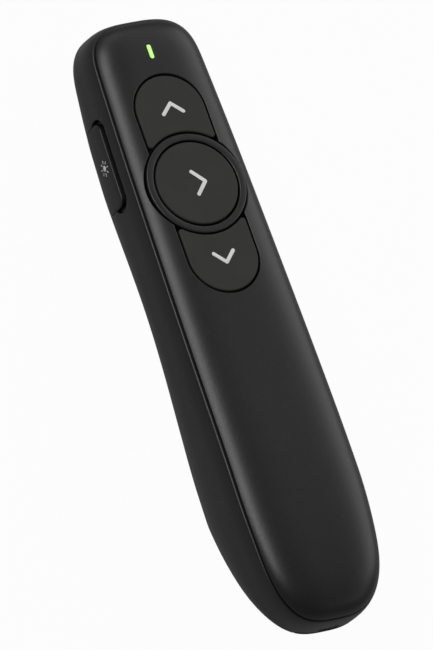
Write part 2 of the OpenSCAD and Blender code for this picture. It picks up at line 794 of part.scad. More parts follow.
// Key frame: the ring round the middle key, and the web that guides the posts
module frame_collars(r, z0, z1) {
    for (x = [-1, 1], y = [-1, 1])
        post(r, z0, z1, [x * pcb_screw_x, y * pcb_screw_y]);
}
module key_frame() {
    guide_r = post_r + post_gap;
    color([0.15, 0.15, 0.15])
        on_deck()
            difference() {
                union() {
                    translate([0, 0, frame_low])
                        round_bar(2 * frame_half_w, 2 * frame_half_l, frame_t, frame_round);
                    post(ring_out, frame_low, -ring_drop - key_bevel);
                    translate([0, 0, -ring_drop - key_bevel])
                        cylinder(r1 = ring_out, r2 = ring_out - key_bevel, h = key_bevel);
                    frame_collars(collar_r, pcb_top, frame_low);
                }
                post(ring_in, frame_top, 1);
                post(guide_r, frame_low - 1, frame_top + 1);
                for (y = [-1, 1])
                    post(guide_r, frame_low - 1, frame_top + 1, [0, y * arrow_key_offset]);
                frame_collars(pcb_screw_r + shank_gap, pcb_top - 1, frame_top + 1);
                // Notch for the light pipe, open at the head end
                notch_w = light_w + 2 * light_notch_gap;
                notch_y = light_y - light_l / 2 - light_notch_gap;
                translate([-notch_w / 2, notch_y, frame_low - 1])
                    cube([notch_w, far, frame_t + 2]);
            }
}

module main_board() {
    shoulder = pcb_screw_y - pcb_margin - collar_r / 2;
    tip = light_y + pcb_tongue_margin;
    slope_l = pcb_half_w - pcb_neck_half_w;
    half_plan = [
        [pcb_half_w, -pcb_half_l],
        [pcb_half_w, shoulder],
        [pcb_neck_half_w, shoulder + slope_l],
        [pcb_neck_half_w, pcb_half_l],
        [pcb_tongue_half_w, pcb_half_l],
        [pcb_tongue_half_w, tip]
    ];
    count = len(half_plan);
    color("darkgreen")
        on_deck()
            difference() {
                translate([0, 0, pcb_low])
                    linear_extrude(pcb_t)
                        polygon(concat(
                            half_plan,
                            [for (i = [count - 1:-1:0]) [-half_plan[i][0], half_plan[i][1]]]
                        ));
                frame_collars(pcb_screw_r + shank_gap, pcb_low - 1, pcb_top + 1);
            }
}
module radio_chip() {
    color([0.1, 0.1, 0.1]) on_deck() block([chip_w, chip_w, chip_t], [0, -chip_y, pcb_low - chip_t]);
}
module crystal_can() {
    color("silver")
        on_deck()
            block(
                [crystal_w, crystal_l, crystal_t],
                [0, -chip_y - (chip_w + crystal_l) / 2 - crystal_gap, pcb_low - crystal_t]
            );
}
module status_led() {
    color([0.6, 0.95, 0.5]) on_deck() block([led_w, led_l, led_h], [0, light_y, pcb_top]);
}
module light_window(gap, z0, z1) {
    stem_l = light_l - light_w;
    for (y = [-1, 1])
        post(light_w / 2 + gap, z0, z1, [0, light_y + y * stem_l / 2]);
    block([light_w + 2 * gap, stem_l, z1 - z0], [0, light_y, z0]);
}
module light_pipe() {
    color([0.5, 0.9, 0.3])
        on_deck() {
            light_window(0, pcb_top + led_h, -light_sunk);
            block(
                [light_w + 2 * light_flange, light_l + 2 * light_flange, light_flange_t],
                [0, light_y, flange_top - light_sunk]
            );
        }
}
module deck_switch() {
    difference() {
        block([switch_w, switch_w, switch_h], [0, 0, pcb_top]);
        post(plunger_r + fit_gap, switch_top - plunger_sunk - key_travel - fit_gap, 0);
    }
}
module deck_plunger() {
    post(plunger_r, switch_top - plunger_sunk, stem_low);
}
module next_switch() {
    color("gray") on_deck() deck_switch();
}
module up_switch() {
    color("gray") on_deck() translate([0, arrow_key_offset, 0]) deck_switch();
}
module down_switch() {
    color("gray") on_deck() translate([0, -arrow_key_offset, 0]) deck_switch();
}
module next_plunger() {
    color("black") on_deck() deck_plunger();
}
module up_plunger() {
    color("black") on_deck() translate([0, arrow_key_offset, 0]) deck_plunger();
}
module down_plunger() {
    color("black") on_deck() translate([0, -arrow_key_offset, 0]) deck_plunger();
}

// Rod across the deck's frame at the laser switch's plunger
module laser_rod(r, x0, x1) {
    translate([x0, laser_key_y, laser_plunger_z])
        rotate([0, 90, 0]) cylinder(r = r, h = x1 - x0);
}
module laser_switch() {
    color("gray")
        on_deck()
            difference() {
                translate([-laser_switch_x, laser_key_y - laser_switch_l / 2, pcb_low - laser_switch_h])
                    cube([laser_switch_w, laser_switch_l, laser_switch_h]);
                laser_rod(laser_plunger_r + fit_gap, -laser_switch_x - 1, plunger_floor_x);
            }
}
module laser_plunger() {
    color("black")
        on_deck()
            laser_rod(laser_plunger_r, plunger_tip_x, plunger_floor_x - key_travel - press_gap);
}

// Block that spans x0 to x1 across the deck's frame, at the power slider's place
module slider_block(x0, x1, l, h, y = 0) {
    translate([x0, slider_y - l / 2 + y, -slider_z - h / 2])
        cube([x1 - x0, l, h]);
}
module power_switch() {
    color("silver")
        on_deck()
            difference() {
                translate([
                    power_switch_x - power_switch_w,
                    slider_y - slider_travel / 2 - power_switch_l / 2,
                    pcb_low - power_switch_h
                ])
                    cube([power_switch_w, power_switch_l, power_switch_h]);
                slider_block(
                    power_switch_x - lever_sunk - lever_gap,
                    power_switch_x + 1,
                    lever_l + slider_travel + 2 * lever_gap,
                    lever_h + 2 * lever_gap,
                    -slider_travel / 2
                );
            }
}
module power_lever() {
    color("black")
        on_deck() slider_block(power_switch_x - lever_sunk, slider_plate_x, lever_l, lever_h);
}

// Laser key and power slider, on the sides
laser_flange_x = -pcb_half_w - key_travel - laser_flange_gap;

// Bar with round ends that runs along X, its length along the deck
module side_bar(l, h, x0, x1) {
    translate([x0, 0, 0])
        rotate([0, 90, 0]) {
            for (y = [-1, 1])
                post(h / 2, 0, x1 - x0, [0, y * (l - h) / 2]);
            block([h, l - h, x1 - x0]);
        }
}
module at_laser_key() {
    on_deck() translate([0, laser_key_y, -laser_key_z]) children();
}
// Hollow with slanting sides: its floor is as wide as the key's slot, its rim lies on the skin
module laser_scoop() {
    at_laser_key()
        hull()
            for (k = [0, scoop_flare])
                translate([
                    -key_row_width / 2 + scoop_depth * (1 - k),
                    0,
                    k * (scoop_top - scoop_low) / 2
                ])
                    side_bar(
                        laser_key_l + 2 * (key_gap + k * (scoop_end - key_gap)),
                        laser_key_h + 2 * key_gap + k * (scoop_top + scoop_low - 2 * key_gap),
                        -tiny,
                        0
                    );
}
module at_slider() {
    on_deck() translate([0, slider_y, -slider_z]) children();
}
module laser_button() {
    flange_x = laser_flange_x - laser_flange_t;
    color([0.16, 0.16, 0.16]) {
        intersection() {
            full_body(-laser_key_proud);
            at_laser_key() side_bar(laser_key_l, laser_key_h, -far, flange_x);
        }
        at_laser_key()
            side_bar(
                laser_key_l + 2 * laser_flange_l,
                laser_key_h + 2 * laser_flange_h,
                flange_x,
                laser_flange_x
            );
        on_deck() laser_rod(laser_post_r, laser_flange_x, plunger_tip_x);
    }
}
module power_slider() {
    color([0.16, 0.16, 0.16]) {
        intersection() {
            full_body(-slider_proud);
            at_slider() side_bar(slider_l, slider_h, slider_plate_x, far);
        }
        on_deck()
            slider_block(
                slider_plate_x,
                slider_plate_x + slider_plate_t,
                slider_plate_l,
                slider_plate_h
            );
    }
}

// What the shells are cut and filled with
bay_half_w = cell_r + cell_gap;
cell_z = arch_rise - land_sink + wall + cell_lift + cell_r;
door_tail_y = bay_tail_y + bay_wall;
door_half_w = bay_half_w + bay_wall + door_reach;
neck_screw_x = door_half_w + neck_screw_wall + screw_head_r + sink_gap;
neck_screw_y = bay_head_y - neck_screw_back;
receiver_z = under_z(receiver_in_y) + plug_floor + receiver_gap + plug_h / 2;
pocket_half_w = grip_w / 2 + receiver_gap + pocket_wall;
saddle_y = barrel_end - barrel_l + saddle_place;
saddle_ys = [saddle_y, saddle_y + saddle_pitch];

// Rod along the housing at the laser's or the cell's height, from y0 to y1
module long_rod(r, z, y0, y1) {
    translate([0, y0, z]) rotate([-90, 0, 0]) cylinder(r = r, h = y1 - y0);
}
module door_plan(gap, z0, z1) {
    door_head = bay_head_y - bay_wall - gap;
    door_tail = door_tail_y + gap;
    translate([0, (door_head + door_tail) / 2, z0])
        round_bar(2 * (door_half_w - gap), door_head - door_tail, z1 - z0, door_round);
}
module receiver_bar(gap, y0, y1) {
    translate([0, y1, receiver_z])
        rotate([90, 0, 0])
            round_bar(grip_w + 2 * gap, grip_h + 2 * gap, y1 - y0, grip_round + gap);
}
module plug_bar(gap, y0, y1) {
    translate([-plug_w / 2 - gap, y0, receiver_z - plug_h / 2 - gap])
        cube([plug_w + 2 * gap, y1 - y0, plug_h + 2 * gap]);
}
module screw_places() {
    for (side = [-1, 1], at = [[head_screw_x, head_screw_y], [neck_screw_x, neck_screw_y]])
        translate([side * at[0], at[1], 0]) {
            $mate = belt_z(at[1]);
            $ceiling = deck_z(at[1]) - deck_wall * 0.7;
            children();
        }
}
module shell_insides() {
    tray_half_w = bay_half_w + bay_wall;
    // Battery tray with its two end walls
    difference() {
        union() {
            translate([-tray_half_w, bay_tail_y, cell_z - 2])
                cube([2 * tray_half_w, bay_l, tray_half_w + 2]);
            for (y = [bay_head_y, bay_tail_y - bay_wall])
                translate([-tray_half_w, y, 0])
                    cube([2 * tray_half_w, bay_wall, cell_z + tray_half_w]);
        }
        translate([-bay_half_w, bay_tail_y, -1])
            cube([2 * bay_half_w, bay_l, cell_z + 1]);
        long_rod(bay_half_w, cell_z, bay_tail_y, bay_head_y);
    }
    // Block round the receiver's bay
    translate([-pocket_half_w, tail_y, receiver_z - grip_h / 2 - pocket_wall - receiver_gap])
        cube([
            2 * pocket_half_w,
            bay_tail_y - tail_y,
            grip_h + 2 * (pocket_wall + receiver_gap)
        ]);
    // Saddles under the laser barrel
    for (y = saddle_ys)
        translate([-saddle_half_w, y, 0]) cube([2 * saddle_half_w, saddle_t, laser_z]);
    screw_places() post(screw_post_r, 0, $mate);
}
module bottom_shell() {
    color([0.14, 0.14, 0.14])
        difference() {
            union() {
                lower_hull();
                intersection() {
                    full_body(wall / 2);
                    shell_insides();
                }
            }
            door_plan(0, -1, cell_z);
            translate([-nail_w / 2, door_tail_y, under_z(door_tail_y) - nail_sink])
                rotate([0, 90, 0]) cylinder(r = nail_r, h = nail_w);
            receiver_bar(receiver_gap, tail_y - 1, receiver_in_y);
            plug_bar(receiver_gap, tail_y, plug_end_y + receiver_gap);
            at_laser_key()
                side_bar(
                    laser_key_l + 2 * key_gap,
                    laser_key_h + 2 * key_gap,
                    -far,
                    laser_flange_x
                );
            laser_scoop();
            at_slider()
                translate([0, -slider_travel / 2, 0])
                    side_bar(slider_slot_l, slider_h + 2 * key_gap, slider_plate_x, far);
            // Seats that the laser key's flange and the slider's plate lie in
            at_laser_key()
                side_bar(
                    laser_key_l + 2 * (laser_flange_l + key_gap),
                    laser_key_h + 2 * (laser_flange_h + key_gap),
                    laser_flange_x - laser_flange_t - fit_gap,
                    0
                );
            on_deck()
                slider_block(
                    0,
                    slider_plate_x + slider_plate_t + fit_gap,
                    slider_plate_l + slider_travel + 2 * key_gap,
                    slider_plate_h + 2 * key_gap,
                    -slider_travel / 2
                );
            long_rod(barrel_r, laser_z, barrel_end - barrel_l - 1, barrel_end + window_gap / 2);
            long_rod(window_r + fit_gap, laser_z, barrel_end, head_y + 1);
            screw_places() {
                post(screw_head_r + sink_gap, -1, screw_seat);
                post(screw_r + shank_gap, 0, $mate + 1);
                post(screw_boss_r + fit_gap, $mate, $ceiling + 1);
            }
        }
}
module top_shell() {
    color([0.15, 0.15, 0.15])
        difference() {
            union() {
                upper_hull();
                screw_places() post(screw_boss_r, $mate, $ceiling);
                on_deck() frame_collars(collar_r, frame_top, -deck_wall / 2);
            }
            on_deck() {
                post(deck_hole_r, frame_low, 1);
                for (y = [0, 1])
                    mirror([0, y, 0]) arrow_slab(arrow_hole_r, flange_low, 1);
                light_window(fit_gap, flange_low, 1);
                frame_collars(pcb_screw_r, frame_top - 1, bite_top);
            }
            screw_places() post(screw_r, $mate - 1, $mate + screw_bite + press_gap);
        }
}
module battery_door() {
    door_head = bay_head_y - bay_wall - door_gap;
    door_rib_w = 2 * (bay_half_w - door_rib_inset);
    tab_z = under_z(bay_head_y) + wall + door_gap;
    color([0.14, 0.14, 0.14]) {
        intersection() {
            lower_hull();
            door_plan(door_gap, -1, cell_z);
        }
        // Hook tabs at the head end
        for (side = [-1, 1])
            translate([side * tab_x - tab_w / 2, door_head - tab_root, tab_z]) {
                translate([0, 0, tab_t - tab_root_h])
                    cube([tab_w, tab_root - tiny, tab_root_h]);
                cube([tab_w, tab_root + tab_l, tab_t]);
            }
        // Ribs that hold the cell up
        difference() {
            for (i = [0:door_rib_count - 1]) {
                y = bay_head_y - bay_l * (i + 0.5) / door_rib_count - door_rib_t / 2;
                low = under_z(y) + wall * 0.6;
                translate([-door_rib_w / 2, y, low])
                    cube([door_rib_w, door_rib_t, cell_z - cell_r * 0.65 - low]);
            }
            long_rod(cell_r + rib_gap, cell_z, bay_tail_y, bay_head_y);
        }
    }
}

// Laser module
module laser_barrel() {
    color("goldenrod")
        difference() {
            long_rod(barrel_r, laser_z, barrel_end - barrel_l, barrel_end);
            long_rod(barrel_r - barrel_lip, laser_z, barrel_end - mouth_l, barrel_end + 1);
            long_rod(barrel_r - barrel_wall, laser_z, barrel_end - barrel_l - 1, barrel_end - mouth_l - 1);
        }
}
module laser_lens() {
    color("lightblue")
        long_rod(barrel_r - barrel_lip, laser_z, barrel_end - lens_sunk - lens_t, barrel_end - lens_sunk);
}
module laser_driver() {
    color("darkgreen")
        long_rod(barrel_r - driver_inset, laser_z, barrel_end - barrel_l - driver_t, barrel_end - barrel_l);
}
module laser_window() {
    color([0.3, 0.05, 0.05])
        long_rod(window_r, laser_z, window_front - window_t, window_front);
}

// Battery and its contacts
cell_head = bay_head_y - contact_t;
cell_tail = cell_head - cell_l;
module battery_cell() {
    color("silver") {
        long_rod(cell_r, cell_z, cell_tail, cell_head - cap_h);
        long_rod(cap_r, cell_z, cell_tail, cell_head);
    }
}
module contact_plate(y) {
    translate([-contact_half, y, cell_z - contact_half])
        cube([2 * contact_half, contact_t, 2 * contact_half]);
}
module positive_contact() {
    color("gainsboro") contact_plate(bay_head_y - contact_t);
}
module negative_contact() {
    color("gainsboro") contact_plate(bay_tail_y);
}
// Tapered coil from the negative contact to the cell
contact_half = (bay_half_w - fit_gap) * sqrt(0.5);
coil_r = contact_half - spring_wire / 2;
coil_sides = 8;
coil_parts = 14;
module battery_spring() {
    wire_r = spring_wire / 2;
    start = bay_tail_y + contact_t + wire_r;
    run = cell_tail - wire_r - start;
    steps = coil_parts * spring_turns;
    function coil_point(i, a) =
        let (
            part = i / steps,
            turn = 360 * i / coil_parts,
            out = coil_r + (coil_tip_r - coil_r) * part + wire_r * cos(a)
        )
        [out * cos(turn), start + run * part + wire_r * sin(a), cell_z + out * sin(turn)];
    color("silver")
        polyhedron(
            points = [for (i = [0:steps], k = [0:coil_sides - 1]) coil_point(i, 360 * k / coil_sides)],
            faces = concat(
                [[for (k = [0:coil_sides - 1]) k]],
                [for (i = [0:steps - 1], k = [0:coil_sides - 1])
                    let (a = i * coil_sides + k, b = i * coil_sides + (k + 1) % coil_sides)
                    each [[a, a + coil_sides, b], [b, a + coil_sides, b + coil_sides]]],
                [[for (k = [coil_sides - 1:-1:0]) steps * coil_sides + k]]
            ),
            convexity = 6
        );
}

// Receiver
module receiver_grip() {
    color([0.12, 0.12, 0.12])
        intersection() {
            full_body(0);
            receiver_bar(0, tail_y - 1, receiver_in_y);
        }
}
module receiver_plug() {
    color("silver")
        difference() {
            plug_bar(0, receiver_in_y, plug_end_y);
            plug_bar(-plug_t, receiver_in_y - 1, plug_end_y + 1);
        }
}
module receiver_tongue() {
    color("white")
        translate([-plug_w / 2 + plug_t, receiver_in_y, receiver_z - plug_h / 2 + plug_t])
            cube([plug_w - 2 * plug_t, plug_l - tongue_sunk, tongue_t]);
}

// Screws
module case_screws() {
    color("dimgray")
        screw_places() {
            post(screw_head_r, screw_seat - screw_head_h, screw_seat);
            post(screw_r - bite_gap, screw_seat, $mate + screw_bite);
        }
}
module board_screws() {
    color("dimgray")
        on_deck() {
            frame_collars(pcb_head_r, pcb_low - pcb_head_h, pcb_low);
            frame_collars(pcb_screw_r - bite_gap, pcb_low, bite_top - press_gap);
        }
}

top_shell();
bottom_shell();
battery_door();
key_frame();
next_button();
up_button();
down_button();
laser_button();
power_slider();
light_pipe();
status_led();
main_board();
radio_chip();
crystal_can();
next_switch();
up_switch();
down_switch();
laser_switch();
power_switch();
next_plunger();
up_plunger();
down_plunger();
laser_plunger();
power_lever();
laser_window();
laser_barrel();
laser_lens();
laser_driver();
battery_cell();
battery_spring();
negative_contact();
positive_contact();
receiver_grip();
receiver_plug();
receiver_tongue();
case_screws();
board_screws();
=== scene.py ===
import math

import bmesh
import bpy
import numpy as np
from mathutils import Matrix, Vector


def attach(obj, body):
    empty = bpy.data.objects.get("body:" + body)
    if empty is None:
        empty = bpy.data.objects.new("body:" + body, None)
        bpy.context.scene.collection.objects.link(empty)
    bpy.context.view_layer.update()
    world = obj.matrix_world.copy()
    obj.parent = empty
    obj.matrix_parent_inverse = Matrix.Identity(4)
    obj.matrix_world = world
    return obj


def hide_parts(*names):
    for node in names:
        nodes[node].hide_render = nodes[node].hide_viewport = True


# A wireless presentation clicker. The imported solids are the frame; the shells, keys and marks are made
# here again with finer skins and rounded edges. Shapes are worked out in millimetres, then put in metres.
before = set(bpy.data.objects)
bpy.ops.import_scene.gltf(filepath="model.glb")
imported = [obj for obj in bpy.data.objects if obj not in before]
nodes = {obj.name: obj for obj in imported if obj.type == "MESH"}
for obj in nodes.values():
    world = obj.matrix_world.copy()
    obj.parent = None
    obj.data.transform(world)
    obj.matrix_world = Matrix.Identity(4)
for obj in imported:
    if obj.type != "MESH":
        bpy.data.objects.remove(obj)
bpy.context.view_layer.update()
scene = bpy.context.scene
mm = 0.001
print("frame loaded:", len(nodes), "nodes")

# form of the housing
body = dict(
    tailY=-69.0043, keyY=29.786, bendY=-0.014, headSpine=57.0043, tailSpine=-52.0043, headRound=12.0,
    tailRound=17.0, headSquare=3.2, tailSquare=3.0, deckHeight=21.6, deckTilt=4.0, tailDrop=3.0, tailBend=4.5,
    seamDepth=1.9, seamDrop=5.0, beltDepth=7.0, landSink=0.25, landSoft=0.12,
    crownSide=4.6, crownTop=4.0, bellySide=3.2, bellyFloor=2.6, wall=1.6, deckWall=1.5,
    grooveGap=0.42, grooveDepth=1.0, rimPlay=0.05, skirtDepth=1.3, skirtWall=0.9, skirtPlay=0.1, seamLip=0.2,
    widths=((-69.0043, 12.6), (-38.0043, 15.9), (29.786, 14.8), (69.0043, 13.2)),
    under=((-69.0043, 14.3), (-45.0043, 1.6), (-37.0043, 0.0), (3.986, 4.2), (40.0043, 0.0),
           (69.0043, 5.779)),
    screwX=(7.5, 9.6), screwY=(62.0043, -4.0043), capSteps=26, sideSteps=120, crownRings=34, flankRings=10,
    bellyRings=30, sectionW=15, crownRise=9, bellyDrop=12, innerStart=0.24, closeShare=0.06,
)
tilt = math.radians(body["deckTilt"])
acrossDir, northDir, upDir = np.eye(3)
alongDir = np.array((0.0, math.cos(tilt), -math.sin(tilt)))
deckUp = np.array((0.0, math.sin(tilt), math.cos(tilt)))
deckMiddle = np.array((0.0, body["keyY"], body["deckHeight"]))
screwPlaces = [(side * x, y) for side in (-1, 1) for x, y in zip(body["screwX"], body["screwY"])]


def through(knots, y):
    # smooth curve through the knots that never swings past them
    k = np.array(knots, float)
    h = np.diff(k[:, 0])
    r = np.diff(k[:, 1]) / h
    mid = [0.0 if a * b <= 0 else 2 * a * b / (a + b) for a, b in zip(r[:-1], r[1:])]
    s = np.array([1.5 * r[0] - mid[0] / 2] + mid + [1.5 * r[-1] - mid[-1] / 2])
    i = np.clip(np.searchsorted(k[:, 0], y) - 1, 0, len(h) - 1)
    t = (y - k[i, 0]) / h[i]
    hump = t * t * (3 - 2 * t)
    return (k[i, 1] * (1 - hump) + k[i + 1, 1] * hump
            + h[i] * s[i] * t * (1 - t) ** 2 - h[i] * s[i + 1] * t * t * (1 - t))


def fallAt(y):
    return np.clip((body["bendY"] - y) / (body["bendY"] - body["tailY"]), 0, None) ** body["tailBend"]


def deckZ(y):
    return body["deckHeight"] + (body["keyY"] - y) * math.tan(tilt)


def topZ(y):
    return deckZ(y) - body["tailDrop"] * fallAt(y)


def beltZ(y):
    # the widest line, a fixed depth below the parting line
    return deckZ(y) - body["seamDepth"] - body["seamDrop"] * fallAt(y) - body["beltDepth"]


def underZ(y):
    # the belly, flattened where the case lies on the table; the flats run out softly
    clear, soft = through(body["under"], y) - body["landSink"], body["landSoft"]
    return np.where(clear > soft, clear, np.clip(clear + soft, 0, 2 * soft) ** 2 / (4 * soft))


def heightAt(form, y):
    return float(form(np.array([y]))[0])


def evenly(sideways, up, count, values):
    # values spaced evenly by running length along a flat line
    run = np.concatenate(([0], np.cumsum(np.hypot(np.diff(sideways), np.diff(up)))))
    return np.interp(np.linspace(0, run[-1], count), run, values)


def capAngles(power, count):
    # angles that space the points of a rounded end evenly
    a = np.linspace(0, math.pi / 2, 4001)
    return evenly(np.cos(a) ** (2 / power), np.sin(a) ** (2 / power), count, a)


def outlineStations():
    # each point of the outline: shares of the half width and of an end's rounding, place on the spine,
    # and the rounding
    ends = {}
    for end, way in (("tail", -1), ("head", 1)):
        spineY, rounding, square = (body[end + key] for key in ("Spine", "Round", "Square"))
        ends[end] = [(math.cos(a) ** (2 / square), way * math.sin(a) ** (2 / square), spineY, rounding)
                     for a in capAngles(square, body["capSteps"])]
    steps = body["sideSteps"]
    rows = ends["tail"][::-1]
    rows += [(1.0, 0.0, body["tailSpine"] + (body["headSpine"] - body["tailSpine"]) * i / steps, 0.0)
             for i in range(1, steps)]
    rows += ends["head"]
    rows[0] = (0.0,) + rows[0][1:]
    rows[-1] = (0.0,) + rows[-1][1:]
    half = len(rows)
    rows += [(-x, y, spine, cap) for x, y, spine, cap in rows[-2:0:-1]]
    across, along, spine, cap = np.array(rows).T
    return across, along, spine, cap, through(body["widths"], spine + along * cap), half


across, along, spine, cap, halfWidth, halfCount = outlineStations()


def plan(share, inset=0.0):
    return across * (share * halfWidth - inset), spine + along * (share * cap - inset)


def upperRing(t, inset=0.0):
    share = np.cos(t) ** (2 / body["crownSide"])
    x, y = plan(share, inset * share)
    return np.stack((x, y, beltZ(y) + (topZ(y) - inset - beltZ(y)) * np.sin(t) ** (2 / body["crownTop"])), 1)


def lowerRing(t, inset=0.0):
    share = np.cos(t) ** (2 / body["bellySide"])
    x, y = plan(share, inset * share)
    height = np.sin(t) ** (2 / body["bellyFloor"])
    return np.stack((x, y, beltZ(y) - (beltZ(y) - underZ(y) - inset) * height), 1)


def skinAngle(height):
    # section angle where the skin is a given height above the widest line
    t = np.full(len(across), math.radians(38))
    for i in range(9):
        y = plan(np.cos(t) ** (2 / body["crownSide"]))[1]
        t = np.arcsin(np.clip(height / (topZ(y) - beltZ(y)), 0, 1) ** (body["crownTop"] / 2))
    return t


def sideRing(height, inset=0.0, lift=0.0):
    share = np.cos(skinAngle(height)) ** (2 / body["crownSide"])
    y = plan(share)[1]
    px, py = plan(share, inset)
    return np.stack((px, py, beltZ(y) + height + lift), 1)


def lidRing(part, sink=0.0):
    # ring between the parting line, part 0, and the deck's middle, part 1
    seam = skinAngle(body["beltDepth"])
    return upperRing(seam + (math.pi / 2 - seam) * part) - (0, 0, sink)


def evenAngles(start, side, floor, height, count):
    # section angles that space the rings evenly, down to the closing share
    t = np.linspace(start, math.acos(body["closeShare"] ** (side / 2)), 6001)
    return evenly(body["sectionW"] * np.cos(t) ** (2 / side), height * np.sin(t) ** (2 / floor), count, t)


seamShare = body["beltDepth"] / (body["beltDepth"] + body["seamDepth"])
seamAngle = math.asin(seamShare ** (body["crownTop"] / 2))
lidAngles = evenAngles(seamAngle, body["crownSide"], body["crownTop"], body["crownRise"], body["crownRings"])
lidParts = (lidAngles - seamAngle) / (math.pi / 2 - seamAngle)
bellyAngles = evenAngles(0.0, body["bellySide"], body["bellyFloor"], body["bellyDrop"], body["bellyRings"])


def shareAt(x, y):
    # share of the outline that passes through a point of the plan
    x = np.abs(x)
    share = x / through(body["widths"], y)
    for end, way in (("head", 1), ("tail", -1)):
        spineY, rounding, square = (body[end + key] for key in ("Spine", "Round", "Square"))
        past = way * (y - spineY)
        on = past > 1e-9
        if on.any():
            u, v = x[on], past[on] / rounding
            low, high = v.copy(), np.full(len(u), 3.0)
            for i in range(34):
                s = (low + high) / 2
                width = through(body["widths"], spineY + way * rounding * v / s)
                out = (u / (s * width)) ** square + (v / s) ** square > 1
                low, high = np.where(out, s, low), np.where(out, high, s)
            share[on] = (low + high) / 2
    return share


def level(p):
    # below 0 inside the housing, above 0 outside
    x, y, z = p.T
    belt = beltZ(y)
    above = z > belt
    span = np.where(above, topZ(y) - belt, belt - underZ(y))
    side = np.where(above, body["crownSide"], body["bellySide"])
    height = np.where(above, body["crownTop"], body["bellyFloor"])
    return shareAt(x, y) ** side + (np.abs(z - belt) / span) ** height - 1


def levelSlope(p, step=0.01):
    return np.stack([(level(p + d) - level(p - d)) / (2 * step) for d in np.eye(3) * step], 1)


# meshes, cuts and finishing
def linked(name, data):
    obj = bpy.data.objects.new(name, data)
    scene.collection.objects.link(obj)
    return obj


def newObject(name, points, faces, edges=()):
    mesh = bpy.data.meshes.new(name)
    mesh.from_pydata(np.asarray(points, float).tolist(), edges, faces)
    return linked(name, mesh)


def pointsOf(obj):
    points = np.empty(len(obj.data.vertices) * 3)
    obj.data.vertices.foreach_get("co", points)
    return points.reshape(-1, 3)


def putPoints(obj, points):
    obj.data.vertices.foreach_set("co", points.ravel())
    obj.data.update()
    return obj


def tidySolid(obj, merge=1e-5):
    work = bmesh.new()
    work.from_mesh(obj.data)
    bmesh.ops.remove_doubles(work, verts=work.verts, dist=merge)
    bmesh.ops.dissolve_degenerate(work, edges=work.edges, dist=merge)
    bmesh.ops.recalc_face_normals(work, faces=work.faces)
    work.to_mesh(obj.data)
    work.free()
    return obj


def stackFaces(count, rows):
    i = np.arange(count)
    j = (i + 1) % count
    first = np.stack((i, j, j + count, i + count), 1)
    return [face for k in range(rows - 1) for face in (first + k * count).tolist()]


def bodySkin(name, rings):
    # closed stack of housing rings, bridged from side to side at both ends
    count = len(across)
    faces = stackFaces(count, len(rings))
    for first in (0, (len(rings) - 1) * count):
        faces.append([first, first + count - 1, first + 1])
        faces += [[first + i, first + count - i, first + count - i - 1, first + i + 1]
                  for i in range(1, halfCount - 2)]
        faces.append([first + halfCount - 2, first + halfCount, first + halfCount - 1])
    return tidySolid(newObject(name, np.vstack(rings), faces))


def loft(name, rings):
    # closed stack of rings with flat ends
    count = len(rings[0])
    last = (len(rings) - 1) * count
    faces = stackFaces(count, len(rings)) + [list(range(count)), [last + i for i in range(count)]]
    return tidySolid(newObject(name, np.vstack(rings), faces))


def flatRing(flat, z):
    return np.column_stack((flat, np.full(len(flat), z)))


def boxSolid(name, low, high):
    (x0, y0, z0), (x1, y1, z1) = low, high
    ring = [(x0, y0), (x1, y0), (x1, y1), (x0, y1)]
    return loft(name, [flatRing(ring, z) for z in (z0, z1)])


def circleLine(radius, count=96):
    # an outline: its points and their outward directions
    a = np.linspace(0, 2 * math.pi, count, endpoint=False)
    normal = np.stack((np.cos(a), np.sin(a)), 1)
    return normal * radius, normal


def barLine(length, height, radius, step=0.7, arc=14):
    # rounded bar with its length along the first axis; its sides are split by about the step
    points, normals = [], []
    hu, hv = length / 2 - radius, height / 2 - radius
    corners = ((1, 1), (-1, 1), (-1, -1), (1, -1))
    for k in range(4):
        middle = np.array(corners[k]) * (hu, hv)
        for a in np.linspace(k * math.pi / 2, (k + 1) * math.pi / 2, arc):
            n = np.array((math.cos(a), math.sin(a)))
            points.append(middle + radius * n)
            normals.append(n)
        first, target = points[-1], np.array(corners[(k + 1) % 4]) * (hu, hv) + radius * n
        split = int(np.linalg.norm(target - first) / step)
        for i in range(1, split):
            points.append(first + (target - first) * i / split)
            normals.append(n)
    return np.array(points), np.array(normals)


def moved(line, u, v):
    return line[0] + (u, v), line[1]


def upright(line):
    # an outline turned a quarter, its length along the second axis
    return line[0][:, ::-1] * (-1, 1), line[1][:, ::-1] * (-1, 1)


def post(name, radius, count, x, y, low, high):
    ring = circleLine(radius, count)[0] + (x, y)
    return loft(name, [flatRing(ring, z) for z in (low, high)])


def rod(name, radius, z, y0, y1, count=64):
    ring = circleLine(radius, count)[0]
    return loft(name, [np.column_stack((ring[:, 0], np.full(count, y), ring[:, 1] + z)) for y in (y0, y1)])


# a place is an origin, two directions in its plane and one outwards, the two depths between which the skin
# is looked for, and a depth that is clear of the housing
keyHeight, zero = deckMiddle * (0, 1, 1), np.zeros(3)
deckPlace = (deckMiddle, acrossDir, alongDir, deckUp, -5.0, 5.0, 4.0)
leftPlace = (keyHeight, alongDir, deckUp, -acrossDir, 6.0, 22.0, 24.0)
rightPlace = (keyHeight, alongDir, deckUp, acrossDir, 6.0, 22.0, 24.0)
floorPlace = (zero, acrossDir, northDir, -upDir, -12.0, 6.0, 3.0)
sinkPlace = (*floorPlace[:6], 4.0)
tailPlace = (zero, acrossDir, upDir, -northDir, 45.0, 75.0, 76.0)
nosePlace = (zero, acrossDir, upDir, northDir, 50.0, 75.0, 74.0)
flatPlace = (zero, acrossDir, northDir, upDir)


def atPlace(flat, depth, place):
    origin, u, v, w = place[:4]
    return origin + flat[:, :1] * u + flat[:, 1:] * v + np.asarray(depth, float).reshape(-1, 1) * w


